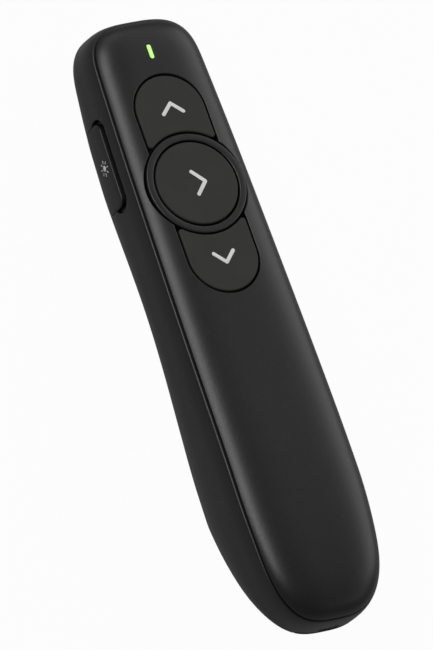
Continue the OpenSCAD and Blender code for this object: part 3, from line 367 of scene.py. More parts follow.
def skinDepth(flat, place):
    # how far out the skin lies over each point of the place's plane
    low, high = np.full(len(flat), place[4]), np.full(len(flat), place[5])
    for i in range(30):
        mid = (low + high) / 2
        inside = level(atPlace(flat, mid, place)) < 0
        low, high = np.where(inside, mid, low), np.where(inside, high, mid)
    return (low + high) / 2


def slab(name, place, line, low, high):
    # straight prism of an outline between two depths
    return loft(name, [atPlace(line[0], np.full(len(line[0]), d), place) for d in (low, high)])


def lippedTool(name, line, place, low, lip, way=1, lift=0.0):
    # a hole's cutter (way 1) or a piece's own outline (way -1) whose edge is rounded where it meets the skin;
    # low is a depth, or for a slanting floor a depth for each point
    points, normals = line
    turns = np.radians((0, 13, 26, 39, 52, 65))
    offsets = [(lip * (1 - math.cos(a)), lip * (1 - math.sin(a))) for a in turns]
    d, e = offsets[-1]
    flare = 0.36 * lip + 0.18
    offsets.append((d + flare, e - flare * 0.46))
    flat = np.vstack([points + normals * d * way for d, e in offsets])
    depth = skinDepth(flat, place) + lift - np.repeat([e for d, e in offsets], len(points))
    skin = atPlace(flat, depth, place).reshape(len(offsets), len(points), 3)
    beyond = atPlace(flat[-len(points):], np.full(len(points), place[6]), place)
    return loft(name, [atPlace(points, low + np.zeros(len(points)), place), *skin, beyond])


def applied(obj):
    graph = bpy.context.evaluated_depsgraph_get()
    mesh = bpy.data.meshes.new_from_object(obj.evaluated_get(graph))
    old, name = obj.data, obj.data.name
    obj.modifiers.clear()
    obj.data = mesh
    bpy.data.meshes.remove(old)
    mesh.name = name
    return obj


def combine(target, tool, how):
    before = target.data.copy()
    for solver in ("MANIFOLD", "EXACT"):
        change = target.modifiers.new("change", "BOOLEAN")
        change.object, change.operation, change.solver = tool, how, solver
        applied(target)
        if len(target.data.polygons) > 3:
            break
        print("second try with the exact solver:", target.name, tool.name)
        target.data = before.copy()
    bpy.data.objects.remove(tool)
    return target


def cut(target, tool):
    return combine(target, tool, "DIFFERENCE")


def join(target, tool):
    return combine(target, tool, "UNION")


def common(target, tool):
    return combine(target, tool, "INTERSECT")


def merged(name, parts):
    # several closed solids as one object
    points, faces, first = [], [], 0
    for part in parts:
        points += [tuple(v.co) for v in part.data.vertices]
        faces += [[first + i for i in f.vertices] for f in part.data.polygons]
        first = len(points)
        bpy.data.objects.remove(part)
    return newObject(name, points, faces)


def finished(obj, bodyName, stands, material, sharp=35.0, skin=None, proud=0.0):
    # metres, smooth shading with sharp creases, true normals on the housing's skin, then the frame's calls;
    # every point also keeps how many millimetres it lies below the skin or the deck, for the painted shade in
    # grooves and gaps
    mesh = obj.data
    mesh.shade_smooth()
    mesh.set_sharp_from_angle(angle=math.radians(sharp))
    points = pointsOf(obj)
    recess = np.zeros(len(points))
    if skin == "deck":
        recess = (deckMiddle - points) @ deckUp
    if skin in ("housing", "side"):
        slope = levelSlope(points)
        size = np.maximum(np.linalg.norm(slope, axis=1), 1e-9)
        recess = proud - level(points) / size
    mesh.attributes.new("recess", "FLOAT", "POINT").data.foreach_set("value", np.clip(recess, 0, 9))
    if skin == "housing":
        off, normal = np.abs(recess), slope / size[:, None]
        corner = np.empty(len(mesh.loops), int)
        mesh.loops.foreach_get("vertex_index", corner)
        faceOf = np.repeat(np.arange(len(mesh.polygons)), [p.loop_total for p in mesh.polygons])
        faceNormal = np.array([p.normal for p in mesh.polygons])[faceOf]
        good = (off[corner] < 0.006) & ((faceNormal * normal[corner]).sum(1) > 0.96)
        mesh.normals_split_custom_set(np.where(good[:, None], normal[corner], 0.0).tolist())
    mesh.transform(Matrix.Diagonal((mm, mm, mm, 1.0)))
    mesh.materials.clear()
    mesh.materials.append(material)
    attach(obj, bodyName)
    if stands:
        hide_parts(*stands)
    return obj


# finishes
def feed(tree, node, inputs):
    # each input is given a value, or is linked to another node's output
    for key, value in inputs.items():
        if isinstance(value, bpy.types.NodeSocket):
            tree.links.new(value, node.inputs[key])
        else:
            node.inputs[key].default_value = value
    return node


def put(tree, kind, inputs=(), **settings):
    node = tree.nodes.new(kind)
    for key, value in settings.items():
        setattr(node, key, value)
    return feed(tree, node, dict(inputs))


def computed(tree, operation, *values, **settings):
    return put(tree, "ShaderNodeMath", enumerate(values), operation=operation, **settings).outputs[0]


def startMaterial(name):
    material = bpy.data.materials.new(name)
    material.use_nodes = True
    tree = material.node_tree
    tree.nodes.clear()
    shader = put(tree, "ShaderNodeBsdfPrincipled")
    put(tree, "ShaderNodeOutputMaterial", {"Surface": shader.outputs["BSDF"]})
    return material, tree, shader, put(tree, "ShaderNodeTexCoord").outputs["Object"]


def noise(tree, place, size, detail=3.0, rough=0.5, stretch=None):
    # noise whose features are about size millimetres
    if stretch:
        place = put(tree, "ShaderNodeMapping", {"Vector": place, "Scale": stretch}).outputs["Vector"]
    return put(tree, "ShaderNodeTexNoise", {
        "Vector": place, "Scale": 1000.0 / size, "Detail": detail, "Roughness": rough}).outputs["Fac"]


def ranged(tree, value, low, high, fromLow=0.3, fromHigh=0.7):
    return put(tree, "ShaderNodeMapRange", {
        "Value": value, "From Min": fromLow, "From Max": fromHigh, "To Min": low, "To Max": high}
    ).outputs["Result"]


def mixedColour(tree, factor, first, second):
    return put(tree, "ShaderNodeMix", {0: factor, 6: first, 7: second}, data_type="RGBA").outputs[2]


def clouded(tree, place, look, size, detail=3.0):
    # the look's two colours in soft patches
    shade = ranged(tree, noise(tree, place, size, detail), 0.0, 1.0)
    return mixedColour(tree, shade, look["colour"], look["second"])


def bumped(tree, height, distance, strength=1.0, under=None):
    inputs = {"Height": height, "Distance": distance * mm, "Strength": strength}
    if under:
        inputs["Normal"] = under
    return put(tree, "ShaderNodeBump", inputs).outputs["Normal"]


def sheen(tree, place, look):
    # patchy roughness: the look's sheen is (size of the patches, lowest, highest)
    size, low, high = look["sheen"]
    return ranged(tree, noise(tree, place, size), low, high)


def relief(tree, place, look):
    # fine unevenness: the look's relief is (size of the marks, depth, strength)
    size, depth, strength = look["relief"]
    return bumped(tree, noise(tree, place, size), depth, strength)


def srgb(r, g, b):
    # colour as the eye names it, 0 to 255
    linear = (c / 255 / 12.92 if c <= 10 else ((c / 255 + 0.055) / 1.055) ** 2.4 for c in (r, g, b))
    return (*linear, 1.0)


def paintedRecessShade(tree, most):
    # painted shade: 0 on the outside, rising to the given share in grooves and gaps; the roomy inside is less
    # shaded again
    depth = put(tree, "ShaderNodeAttribute", attribute_name="recess").outputs["Fac"]
    near, far = ranged(tree, depth, 0.0, most, 0.24, 0.55), ranged(tree, depth, 1.0, 0.35, 2.2, 4.0)
    return computed(tree, "MULTIPLY", near, far)


def mouldedPlastic(name, look):
    # spark-eroded moulded plastic: fine grain, faint flow shades, edges polished by handling and lightened by
    # wear and a painted highlight, grooves and gaps darkened with painted shade
    material, tree, shader, place = startMaterial(name)
    shape = put(tree, "ShaderNodeNewGeometry").outputs["Pointiness"]
    edgeWearAndHighlight = ranged(tree, shape, 0.0, 1.0, 0.52, 0.62)
    faded = computed(tree, "MULTIPLY", edgeWearAndHighlight, look["edgeWearAndHighlight"])
    # edges are lightened: partly wear, partly a painted highlight
    wornAndHighlit = mixedColour(tree, faded, clouded(tree, place, look, look["cloud"]), look["wornAndHighlit"])
    speck = ranged(tree, noise(tree, place, look["grain"] * 3, 2.0), 0.0, 1.0, 0.33, 0.72)
    middle, spread, depth, strength = look["rough"], look["roughRange"], look["bump"], look["bumpStrength"]
    rough = ranged(tree, speck, middle - spread, middle + spread, 0.0, 1.0)
    coarse = bumped(tree, noise(tree, place, look["grain"] * 3.7, 2.0), depth * 1.6, strength)
    fine = noise(tree, place, look["grain"], 3.0, 0.6)
    feed(tree, shader, {
        # grooves and gaps are darkened towards a near-black colour: painted shade
        "Base Color": mixedColour(tree, paintedRecessShade(tree, look["shadeShare"]), wornAndHighlit, look["deep"]),
        "Roughness": computed(tree, "MULTIPLY_ADD", edgeWearAndHighlight, -look["polish"], rough),
        "Normal": bumped(tree, fine, depth, strength, coarse),
        "Specular IOR Level": look["specular"]})
    return material


def metal(name, look):
    # bare or plated metal: drawn or tumbled marks, patchy sheen
    material, tree, shader, place = startMaterial(name)
    marks = noise(tree, place, look["mark"], 4.0, 0.6, look["stretch"])
    feed(tree, shader, {
        "Base Color": clouded(tree, place, look, look["patch"], 4.0),
        "Roughness": ranged(tree, marks, look["rough"] - 0.07, look["rough"] + 0.09),
        "Normal": bumped(tree, marks, look["bump"], 0.6), "Metallic": 1.0})
    return material


def lacquered(name, look):
    # solder mask over copper tracks: the tracks show as paler, raised bands
    material, tree, shader, place = startMaterial(name)
    wave = put(tree, "ShaderNodeTexWave", {
        "Vector": place, "Scale": look["bands"], "Distortion": look["bend"],
        "Detail Scale": look["bendScale"]})
    track = ranged(tree, wave.outputs["Fac"], 0.0, 1.0, 0.55, 0.65)
    feed(tree, shader, {
        "Base Color": mixedColour(tree, track, look["colour"], look["second"]),
        "Roughness": sheen(tree, place, look), "Normal": bumped(tree, track, look["trackHigh"], 0.8),
        "Coat Weight": look["coat"]})
    return material


def softLight(name, look):
    # moulded light guide, lit from below: brighter in the middle of its thickness
    material, tree, shader, place = startMaterial(name)
    axes = put(tree, "ShaderNodeSeparateXYZ", {"Vector": place})
    aside = computed(tree, "ABSOLUTE", computed(tree, "SUBTRACT", axes.outputs["X"], look["middle"] * mm))
    glow = ranged(tree, aside, 1.0, 0.0, 0.1 * mm, 0.5 * mm)
    lit = mixedColour(tree, glow, look["colour"], look["second"])
    feed(tree, shader, {
        "Base Color": lit, "Emission Color": lit, "Emission Strength": look["power"],
        "Roughness": sheen(tree, place, look), "Normal": relief(tree, place, look)})
    return material


def clearPane(name, look):
    material, tree, shader, place = startMaterial(name)
    feed(tree, shader, {
        "Base Color": clouded(tree, place, look, look["cloud"]), "Roughness": sheen(tree, place, look),
        "Normal": relief(tree, place, look), "Transmission Weight": look["clear"], "IOR": look["bending"]})
    return material


def printedInk(name, look):
    material, tree, shader, place = startMaterial(name)
    feed(tree, shader, {
        "Base Color": clouded(tree, place, look, look["cloud"]), "Roughness": sheen(tree, place, look),
        "Normal": relief(tree, place, look)})
    return material


def cellSleeve(name, look):
    # printed sleeve of a cell: dark with a copper-coloured band at the head end, no words
    material, tree, shader, place = startMaterial(name)
    y = put(tree, "ShaderNodeSeparateXYZ", {"Vector": place}).outputs["Y"]
    band, tip = (ranged(tree, y, 0.0, 1.0, (look[key] - soft) * mm, (look[key] + soft) * mm)
                 for key, soft in (("bandY", 0.05), ("tipY", 0.03)))
    sleeve = mixedColour(tree, band, look["colour"], look["second"])
    feed(tree, shader, {
        "Base Color": mixedColour(tree, tip, sleeve, look["bare"]), "Roughness": sheen(tree, place, look),
        "Normal": relief(tree, place, look), "Metallic": look["sheenMetal"]})
    return material


# each look's shade colour and share paint shade into grooves and gaps; its pale edge colour is partly wear,
# partly a painted highlight
shellLook = dict(
    colour=srgb(20, 20, 21), second=srgb(24, 24, 25), wornAndHighlit=srgb(48, 48, 49), deep=srgb(6, 6, 6), cloud=14.0,
    grain=0.16, bump=0.012, bumpStrength=0.55, rough=0.38, roughRange=0.03, edgeWearAndHighlight=0.3, polish=0.10,
    specular=0.5, shadeShare=0.9)
keyLook = dict(
    colour=srgb(41, 41, 39), second=srgb(45, 45, 42), wornAndHighlit=srgb(66, 66, 64), deep=srgb(5, 5, 5), cloud=6.0,
    grain=0.10, bump=0.006, bumpStrength=0.5, rough=0.62, roughRange=0.05, edgeWearAndHighlight=0.3, polish=0.15,
    specular=0.3, shadeShare=0.9)
shellBlack = mouldedPlastic("shellBlack", shellLook)
keyBlack = mouldedPlastic("keyBlack", keyLook)
# side keys: paler, stronger edges that paint a highlight along their rims
sideKeyBlack = mouldedPlastic("sideKeyBlack", dict(shellLook, rough=0.44, wornAndHighlit=srgb(88, 88, 88), edgeWearAndHighlight=0.6))
plungerBlack = mouldedPlastic("plungerBlack", dict(keyLook, grain=0.2, rough=0.5))
chipBlack = mouldedPlastic("chipBlack", dict(keyLook, grain=0.08, rough=0.55, colour=srgb(28, 28, 30)))
tongueWhite = mouldedPlastic("tongueWhite", dict(
    keyLook, colour=srgb(222, 221, 214), second=srgb(230, 229, 224), wornAndHighlit=srgb(240, 240, 236), rough=0.4))
markInk = printedInk("markInk", dict(
    colour=srgb(214, 214, 212), second=srgb(228, 228, 226), cloud=0.35, sheen=(0.2, 0.45, 0.62),
    relief=(0.12, 0.006, 0.6)))
lightLook = dict(
    colour=srgb(96, 214, 44), second=srgb(186, 250, 132), power=0.95, middle=0.17, sheen=(0.3, 0.25, 0.4),
    relief=(0.25, 0.01, 0.5))
lightGreen = softLight("lightGreen", lightLook)
ledWhite = softLight("ledWhite", dict(
    lightLook, colour=srgb(190, 255, 150), second=srgb(220, 255, 190), power=1.0, middle=0))
boardGreen = lacquered("boardGreen", dict(
    colour=srgb(18, 74, 40), second=srgb(34, 104, 56), bands=260.0, bend=9.0, bendScale=0.6, trackHigh=0.03,
    coat=0.4, sheen=(0.8, 0.22, 0.36)))
windowLook = dict(
    colour=srgb(60, 8, 8), second=srgb(70, 10, 9), clear=0.35, bending=1.49, cloud=2.0,
    sheen=(0.6, 0.03, 0.1), relief=(0.7, 0.004, 0.4))
windowRed = clearPane("windowRed", windowLook)
lensClear = clearPane("lensClear", dict(
    windowLook, colour=srgb(225, 235, 245), second=srgb(235, 242, 250), clear=0.9))
canMetal = metal("canMetal", dict(
    colour=srgb(196, 197, 196), second=srgb(212, 212, 210), patch=2.0, mark=0.3, stretch=(1, 6, 1), rough=0.3,
    bump=0.006))
contactNickel = metal("contactNickel", dict(
    colour=srgb(206, 204, 196), second=srgb(222, 220, 212), patch=1.5, mark=0.25, stretch=(1, 1, 4),
    rough=0.24, bump=0.005))
plugSteel = metal("plugSteel", dict(
    colour=srgb(186, 188, 190), second=srgb(202, 204, 206), patch=4.0, mark=0.2, stretch=(6, 1, 6),
    rough=0.26, bump=0.004))
barrelBrass = metal("barrelBrass", dict(
    colour=srgb(196, 158, 84), second=srgb(208, 172, 98), patch=2.0, mark=0.2, stretch=(1, 8, 1), rough=0.28,
    bump=0.006))
screwSteel = metal("screwSteel", dict(
    colour=srgb(66, 66, 70), second=srgb(84, 84, 88), patch=0.8, mark=0.15, stretch=(1, 1, 1), rough=0.34,
    bump=0.006))
cellWrap = cellSleeve("cellWrap", dict(
    colour=srgb(26, 28, 32), second=srgb(186, 108, 52), bare=srgb(205, 205, 202), bandY=-16.0, tipY=-3.45,
    sheenMetal=0.55, sheen=(1.6, 0.2, 0.34), relief=(2.5, 0.02, 0.4)))
print("finishes made")

# top shell
lid = dict(
    holeR=11.74, arrowR=8.5, arrowOffset=16.9, holeLow=-4.3, arrowLow=-3.0, holeLip=0.28,
    lightX=0.17, lightY=30.78, lightL=3.25, lightW=1.12, lightRound=0.45, lightLip=0.12,
    bossR=2.2, bossTop=1.05, outerFrom=0.045, innerParts=(0.5, 0.6, 0.72, 0.84, 0.93),
)


def bentLip(first, corner, second, steps=5):
    # rings of a rounded edge between two rings, bent towards the corner ring
    return [first * (1 - s) ** 2 + corner * 2 * s * (1 - s) + second * s * s
            for s in np.linspace(0, 1, steps)]


def topShell():
    b, seam, lip = body, body["beltDepth"], body["seamLip"]
    skirtIn = b["wall"] + b["skirtPlay"]
    rings = [lidRing(p) for p in lidParts[:0:-1] if p > lid["outerFrom"]]
    rings += bentLip(sideRing(seam + lip * 0.75), sideRing(seam), sideRing(seam, lip))
    rings += [sideRing(seam, skirtIn), sideRing(seam, skirtIn, -b["skirtDepth"]),
              sideRing(seam, skirtIn + b["skirtWall"], -b["skirtDepth"])]
    rings += [lidRing(p, b["deckWall"]) for p in lid["innerParts"] + (lidParts[-1],)]
    shell = bodySkin("topShell", rings)
    for x, y in screwPlaces:
        ceiling = heightAt(deckZ, y) - lid["bossTop"]
        join(shell, post("boss", lid["bossR"], 32, x, y, heightAt(beltZ, y), ceiling))
    cut(shell, lippedTool("hole", circleLine(lid["holeR"], 160), deckPlace, lid["holeLow"], lid["holeLip"]))
    arrow = barLine(2 * (lid["arrowOffset"] + lid["arrowR"]), 2 * lid["arrowR"], lid["arrowR"], 0.8, 28)
    cut(shell, lippedTool("slot", upright(arrow), deckPlace, lid["arrowLow"], lid["holeLip"]))
    window = upright(barLine(lid["lightL"], lid["lightW"], lid["lightRound"], 0.5, 12))
    window = moved(window, lid["lightX"], lid["lightY"])
    cut(shell, lippedTool("window", window, deckPlace, lid["arrowLow"], lid["lightLip"]))
    return finished(shell, "housing", ["top_shell"], shellBlack, skin="housing")


topShell()
print("top shell made")

# bottom shell
base = dict(
    cellZ=11.4, bayHalfW=5.55, bayWall=1.2, bayTail=-49.6043, bayHead=-2.1043, trayDrop=2.0, below=-1.0,
    overlap=0.001, margin=1.0, beyondKey=25.0,
    receiverIn=-62.0043, plugEnd=-50.4043, receiverZ=12.6309, gripW=14.0, gripH=5.4, gripRound=1.2, gap=0.2,
    gripEdge=0.25, bayLip=0.16, plugW=12.0, plugH=4.5, plugPlay=0.01, pocketHalfW=8.8, pocketWall=1.6,
    pullX=0.1, pullZ=16.75, pullL=4.8, pullH=1.8, pullRound=0.8, pullTop=0.22, pullLow=-0.1, pullLip=0.08,
    saddleY=(56.0043, 63.0043), saddleHalfW=4.5, saddleT=1.2,
    doorHalfW=7.4, doorTail=-48.4043, doorHead=-3.3043, doorRound=2.5, doorLip=0.16,
    nailR=1.6, nailSink=0.6, nailW=8.0, nailEnds=((0.0, 0.2), (0.25, 0.78), (0.7, 1.0)),
    keyY=10.1, keyZ=-10.6, keyL=19.1, keyH=7.8, keyRound=2.0, flangeX=10.75, flangeT=0.5, flangeReach=0.45,
    keyHairline=0.06, troughY=9.8, troughL=21.0, troughH=6.2, troughZ=-7.95, troughRound=2.9, troughLip=0.25,
    troughDepth=1.6, troughFade=0.7, sidePlay=0.4, seatPlay=0.05,
    sliderY=2.0, sliderZ=-9.0, sliderL=6.0, sliderH=2.6, sliderTravel=2.5, sliderLip=0.2,
    plateX=11.6, plateT=0.7, plateL=13.0, plateH=4.6, plateRound=0.3,
    laserZ=9.57936, barrelR=3.0, barrelL=13.0, barrelEnd=66.6043, barrelPlay=0.15, windowR=2.25,
    windowLip=0.25, postR=3.0, sinkR=2.0, sinkLip=0.18, seatZ=7.5, shankR=1.1,
)


def doorLine(gap):
    b = base
    head, tail = b["doorHead"] - gap, b["doorTail"] + gap
    line = barLine(head - tail, 2 * (b["doorHalfW"] - gap), b["doorRound"], 0.7, 12)
    return moved(upright(line), 0, (head + tail) / 2)


def gripLine(grow, edge):
    # the receiver seen from behind; its lower side follows the belly a little outside the inner face
    b = base
    line, normals = barLine(b["gripW"] + 2 * grow, b["gripH"] + 2 * grow, b["gripRound"] + grow, 0.8, 8)
    half = b["gripH"] / 2 + grow
    low, high = np.full(len(line), -half), np.zeros(len(line))
    for i in range(16):
        mid = (low + high) / 2
        depth = skinDepth(np.stack((line[:, 0], b["receiverZ"] + mid), 1), tailPlace)
        behind = depth > edge - b["receiverIn"]
        low, high = np.where(behind, low, mid), np.where(behind, mid, high)
    share = (line[:, 1] + half) / (2 * half)
    return np.stack((line[:, 0], b["receiverZ"] + low + (half - low) * share), 1), normals


def laserOutline(grow, step=0.8):
    b = base
    line = barLine(b["keyL"] + 2 * grow, b["keyH"] + 2 * grow, b["keyRound"] + grow, step, 18)
    return moved(line, b["keyY"], b["keyZ"])


def lowerHull(name):
    b, seam, lip = body, body["beltDepth"], body["seamLip"]
    rim = seam - b["grooveGap"]
    rings = [lowerRing(t, b["wall"]) for t in bellyAngles[::-1] if t > b["innerStart"]]
    rings += [sideRing(rim * h, b["wall"]) for h in (0, 0.3, 0.6)]
    rings += [sideRing(seam, b["wall"], -b["rimPlay"]), sideRing(seam, b["grooveDepth"], -b["rimPlay"]),
              sideRing(rim, b["grooveDepth"])]
    rings += bentLip(sideRing(rim, lip), sideRing(rim), sideRing(rim - lip))
    rings += [sideRing(rim * h) for h in np.arange(9, 0, -1) / 10]
    rings += [lowerRing(t) for t in bellyAngles]
    return bodySkin(name, rings)


def fullBody(name, inset=0.0):
    rings = [upperRing(seamAngle + (math.pi / 2 - seamAngle) * p, inset) for p in lidParts[::-1]]
    rings += [upperRing(t, inset) for t in np.linspace(seamAngle, 0, body["flankRings"])[1:-1]]
    rings += [lowerRing(t, inset) for t in bellyAngles]
    return bodySkin(name, rings)


def insides():
    # battery tray, receiver pocket, laser saddles and screw posts, trimmed to run into the wall
    b = base
    half, tail, head, low, lap = (b[key] for key in ("bayHalfW", "bayTail", "bayHead", "below", "overlap"))
    tray, reach = half + b["bayWall"], b["gripH"] / 2 + b["pocketWall"] + b["gap"]
    brim = b["cellZ"] + tray
    solid = boxSolid("tray", (-tray, tail, b["cellZ"] - b["trayDrop"]), (tray, head, brim))
    for y in (head, tail - b["bayWall"]):
        join(solid, boxSolid("end", (-tray, y - lap, low), (tray, y + b["bayWall"] + lap, brim)))
    cut(solid, boxSolid("open", (-half, tail, 2 * low), (half, head, b["cellZ"])))
    cut(solid, rod("cell", half, b["cellZ"], tail, head, 96))
    join(solid, boxSolid("pocket", (-b["pocketHalfW"], body["tailY"], b["receiverZ"] - reach),
                         (b["pocketHalfW"], tail - lap, b["receiverZ"] + reach)))
    wide = b["saddleHalfW"]
    for y in b["saddleY"]:
        join(solid, boxSolid("saddle", (-wide, y, low), (wide, y + b["saddleT"], b["laserZ"])))
    for x, y in screwPlaces:
        join(solid, post("post", b["postR"], 40, x, y, low, heightAt(beltZ, y)))
    return common(solid, fullBody("inner", body["wall"] / 2))


def nailGroove():
    # finger-nail groove across the door's tail edge, narrowed at its ends
    b = base
    ring, half, ends = circleLine(1.0, 48)[0] * b["nailR"], b["nailW"] / 2, b["nailEnds"]
    middle = (b["doorTail"], heightAt(underZ, b["doorTail"]) - b["nailSink"])
    steps = [(-half + d, s) for d, s in ends] + [(half - d, s) for d, s in ends[::-1]]
    return loft("nail", [np.column_stack((np.full(len(ring), x), ring * s + middle)) for x, s in steps])


def slopedTool(name, line, place, top, height, depths, lip):
    # cutter whose floor goes from the first depth under the skin at the top to the second below
    down = np.clip((top - line[0][:, 1]) / height, 0, 1)
    floor = depths[0] + (depths[1] - depths[0]) * down
    return lippedTool(name, line, place, skinDepth(line[0], place) - floor, lip)


def bottomShell():
    b = base
    shell = lowerHull("bottomShell")
    join(shell, insides())
    cut(shell, lippedTool("doorway", doorLine(0), floorPlace, -b["cellZ"], b["doorLip"]))
    cut(shell, nailGroove())
    cut(shell, lippedTool("bay", gripLine(b["gap"], b["gripEdge"]), tailPlace, -b["receiverIn"], b["bayLip"]))
    wide, high, play = b["plugW"] / 2 + b["plugPlay"], b["plugH"] / 2, b["plugPlay"]
    cut(shell, boxSolid("plugBay", (-wide, b["receiverIn"] - play, b["receiverZ"] - high - 2 * play),
                        (wide, b["plugEnd"] + b["gap"], b["receiverZ"] + high + b["gap"])))
    pull = moved(barLine(b["pullL"], b["pullH"], b["pullRound"], 0.4, 10), b["pullX"], b["pullZ"])
    cut(shell, slopedTool("pull", pull, tailPlace, b["pullZ"] + b["pullH"] / 2, b["pullH"],
                          (b["pullTop"], b["pullTop"] + b["pullLow"]), b["pullLip"]))
    trough = moved(barLine(b["troughL"], b["troughH"], b["troughRound"], 0.5, 20), b["troughY"], b["troughZ"])
    cut(shell, slopedTool("trough", trough, leftPlace, b["troughZ"] + b["troughH"] / 2, b["troughH"],
                          (b["troughDepth"], b["troughFade"]), b["troughLip"]))
    cut(shell, slab("keySlot", leftPlace, laserOutline(b["keyHairline"]), b["flangeX"], b["beyondKey"]))
    cut(shell, slab("keySeat", leftPlace, laserOutline(b["flangeReach"] + b["sidePlay"]), 0,
                    b["flangeX"] + b["flangeT"] + b["seatPlay"]))
    middle, play = (b["sliderY"] - b["sliderTravel"] / 2, b["sliderZ"]), 2 * b["sidePlay"]
    run = b["sliderTravel"] + play
    slot = barLine(b["sliderL"] + run, b["sliderH"] + play, b["sliderH"] / 2 + b["sidePlay"], 0.8)
    cut(shell, lippedTool("sliderSlot", moved(slot, *middle), rightPlace, b["plateX"], b["sliderLip"]))
    seat = barLine(b["plateL"] + run, b["plateH"] + play, b["plateRound"], 2.0, 3)
    depth = b["plateX"] + b["plateT"] + b["seatPlay"]
    cut(shell, slab("sliderSeat", rightPlace, moved(seat, *middle), 0, depth))
    cut(shell, rod("laserBore", b["barrelR"], b["laserZ"], b["barrelEnd"] - b["barrelL"],
                   b["barrelEnd"] + b["barrelPlay"]))
    cut(shell, lippedTool("noseBore", moved(circleLine(b["windowR"], 72), 0, b["laserZ"]), nosePlace,
                          b["barrelEnd"], b["windowLip"]))
    for x, y in screwPlaces:
        sink = moved(circleLine(b["sinkR"], 56), x, y)
        cut(shell, lippedTool("sink", sink, sinkPlace, -b["seatZ"], b["sinkLip"]))
        low, high = b["seatZ"] - b["margin"], heightAt(beltZ, y) + b["margin"]
        cut(shell, post("shank", b["shankR"], 32, x, y, low, high))
    return finished(shell, "housing", ["bottom_shell"], shellBlack, skin="housing")


bottomShell()
print("bottom shell made")

# battery door
door = dict(gap=0.2, lip=0.16, ribCount=4, ribT=1.2, ribInset=1.05, ribSink=0.6, ribRise=0.65, cellR=5.25,
            cellPlay=0.1, bayL=47.5, tabX=4.5, tabW=2.2, tabT=0.8, tabRoot=2.0, tabRootH=1.5, tabL=1.0,
            overlap=0.01)


def batteryDoor():
    b, d = base, door
    leaf = common(lowerHull("batteryDoor"),
                  lippedTool("leaf", doorLine(d["gap"]), floorPlace, -b["cellZ"], d["lip"], way=-1))
    ribHalf, ribTop = b["bayHalfW"] - d["ribInset"], b["cellZ"] - d["cellR"] * d["ribRise"]
    clearR = d["cellR"] + d["cellPlay"]
    for i in range(d["ribCount"]):
        y = b["bayHead"] - d["bayL"] * (i + 0.5) / d["ribCount"] - d["ribT"] / 2
        low = heightAt(underZ, y) + body["wall"] * d["ribSink"]
        rib = boxSolid("rib", (-ribHalf, y, low), (ribHalf, y + d["ribT"], ribTop))
        join(leaf, cut(rib, rod("clear", clearR, b["cellZ"], b["bayTail"], b["bayHead"], 96)))
    head, z = b["doorHead"] - d["gap"], heightAt(underZ, b["bayHead"]) + body["wall"] + d["gap"]
    tail, top, tuck = head - d["tabRoot"], z + d["tabT"], d["overlap"]
    for side in (-1, 1):
        x0, x1 = side * d["tabX"] - d["tabW"] / 2, side * d["tabX"] + d["tabW"] / 2
        tab = boxSolid("tab", (x0, tail, z), (x1, head + d["tabL"], top))
        join(tab, boxSolid("root", (x0, tail, top - d["tabRootH"]), (x1, head - tuck, top - tuck)))
        join(leaf, tab)
    return finished(leaf, "battery_door", ["battery_door"], shellBlack, skin="housing")


batteryDoor()
print("battery door made")

# receiver's grip
receiver = dict(lip=0.2)


def receiverGrip():
    line = gripLine(0.0, base["gripEdge"] + base["gap"])
    grip = common(fullBody("receiverGrip"),
                  lippedTool("outline", line, tailPlace, -base["receiverIn"], receiver["lip"], way=-1))
    return finished(grip, "receiver", ["receiver_grip"], keyBlack, skin="housing")


receiverGrip()
print("receiver made")

# side keys
sideKeys = dict(laserProud=0.05, laserLip=0.3, laserOverlap=0.02, postR=1.4, postY=10.6, postTip=9.25,
                postZ=-8.75, postOverlap=0.1, sliderProud=0.6, sliderLip=0.35, sliderFoot=0.3, plateRound=0.2)


def pushedOut(obj, proud):
    # moves a body skin outwards by a small, even amount
    points = pointsOf(obj)
    slope = levelSlope(points)
    return putPoints(obj, points + slope / np.linalg.norm(slope, axis=1)[:, None] * proud)


def sideKey(name, proud, line, place, low, lip):
    # the part of a pushed-out body skin within an outline
    return common(pushedOut(fullBody(name), proud),
                  lippedTool("outline", line, place, low, lip, way=-1, lift=proud))


def laserKey():
    b, s, proud = base, sideKeys, sideKeys["laserProud"]
    top = b["flangeX"] + b["flangeT"]
    foot = top - s["laserOverlap"]
    key = sideKey("laserKey", proud, laserOutline(0.0, 0.5), leftPlace, foot, s["laserLip"])
    join(key, slab("flange", leftPlace, laserOutline(b["flangeReach"]), b["flangeX"], top))
    stem = moved(circleLine(s["postR"], 40), s["postY"], s["postZ"])
    join(key, slab("post", leftPlace, stem, s["postTip"], b["flangeX"] + s["postOverlap"]))
    return finished(key, "laser_key", ["laser_button"], sideKeyBlack, 40, "side", proud)


def powerSlider():
    b, s, proud = base, sideKeys, sideKeys["sliderProud"]
    line = moved(barLine(b["sliderL"], b["sliderH"], b["sliderH"] / 2, 0.6, 16), b["sliderY"], b["sliderZ"])
    grip = sideKey("powerSlider", proud, line, rightPlace, b["plateX"] + s["sliderFoot"], s["sliderLip"])
    plate = moved(barLine(b["plateL"], b["plateH"], s["plateRound"], 2.0, 3), b["sliderY"], b["sliderZ"])
    join(grip, slab("plate", rightPlace, plate, b["plateX"], b["plateX"] + b["plateT"]))
    return finished(grip, "power_slide", ["power_slider"], sideKeyBlack, 40, "side", proud)


laserKey()
powerSlider()
print("side keys made")


# geometry node trees
def nodeTree(name, sockets):
    # a tree with geometry in and out, the inputs given as (name, type, value) and a material; also returns
    # the sockets of its inputs
    tree = bpy.data.node_groups.new(name, "GeometryNodeTree")
    for way in ("INPUT", "OUTPUT"):
        tree.interface.new_socket("Geometry", in_out=way, socket_type="NodeSocketGeometry")
    for label, kind, value in sockets + (("Material", "Material", None),):
        socket = tree.interface.new_socket(label, in_out="INPUT", socket_type="NodeSocket" + kind)
        if value is not None:
            socket.default_value = value
    return tree, put(tree, "NodeGroupInput").outputs


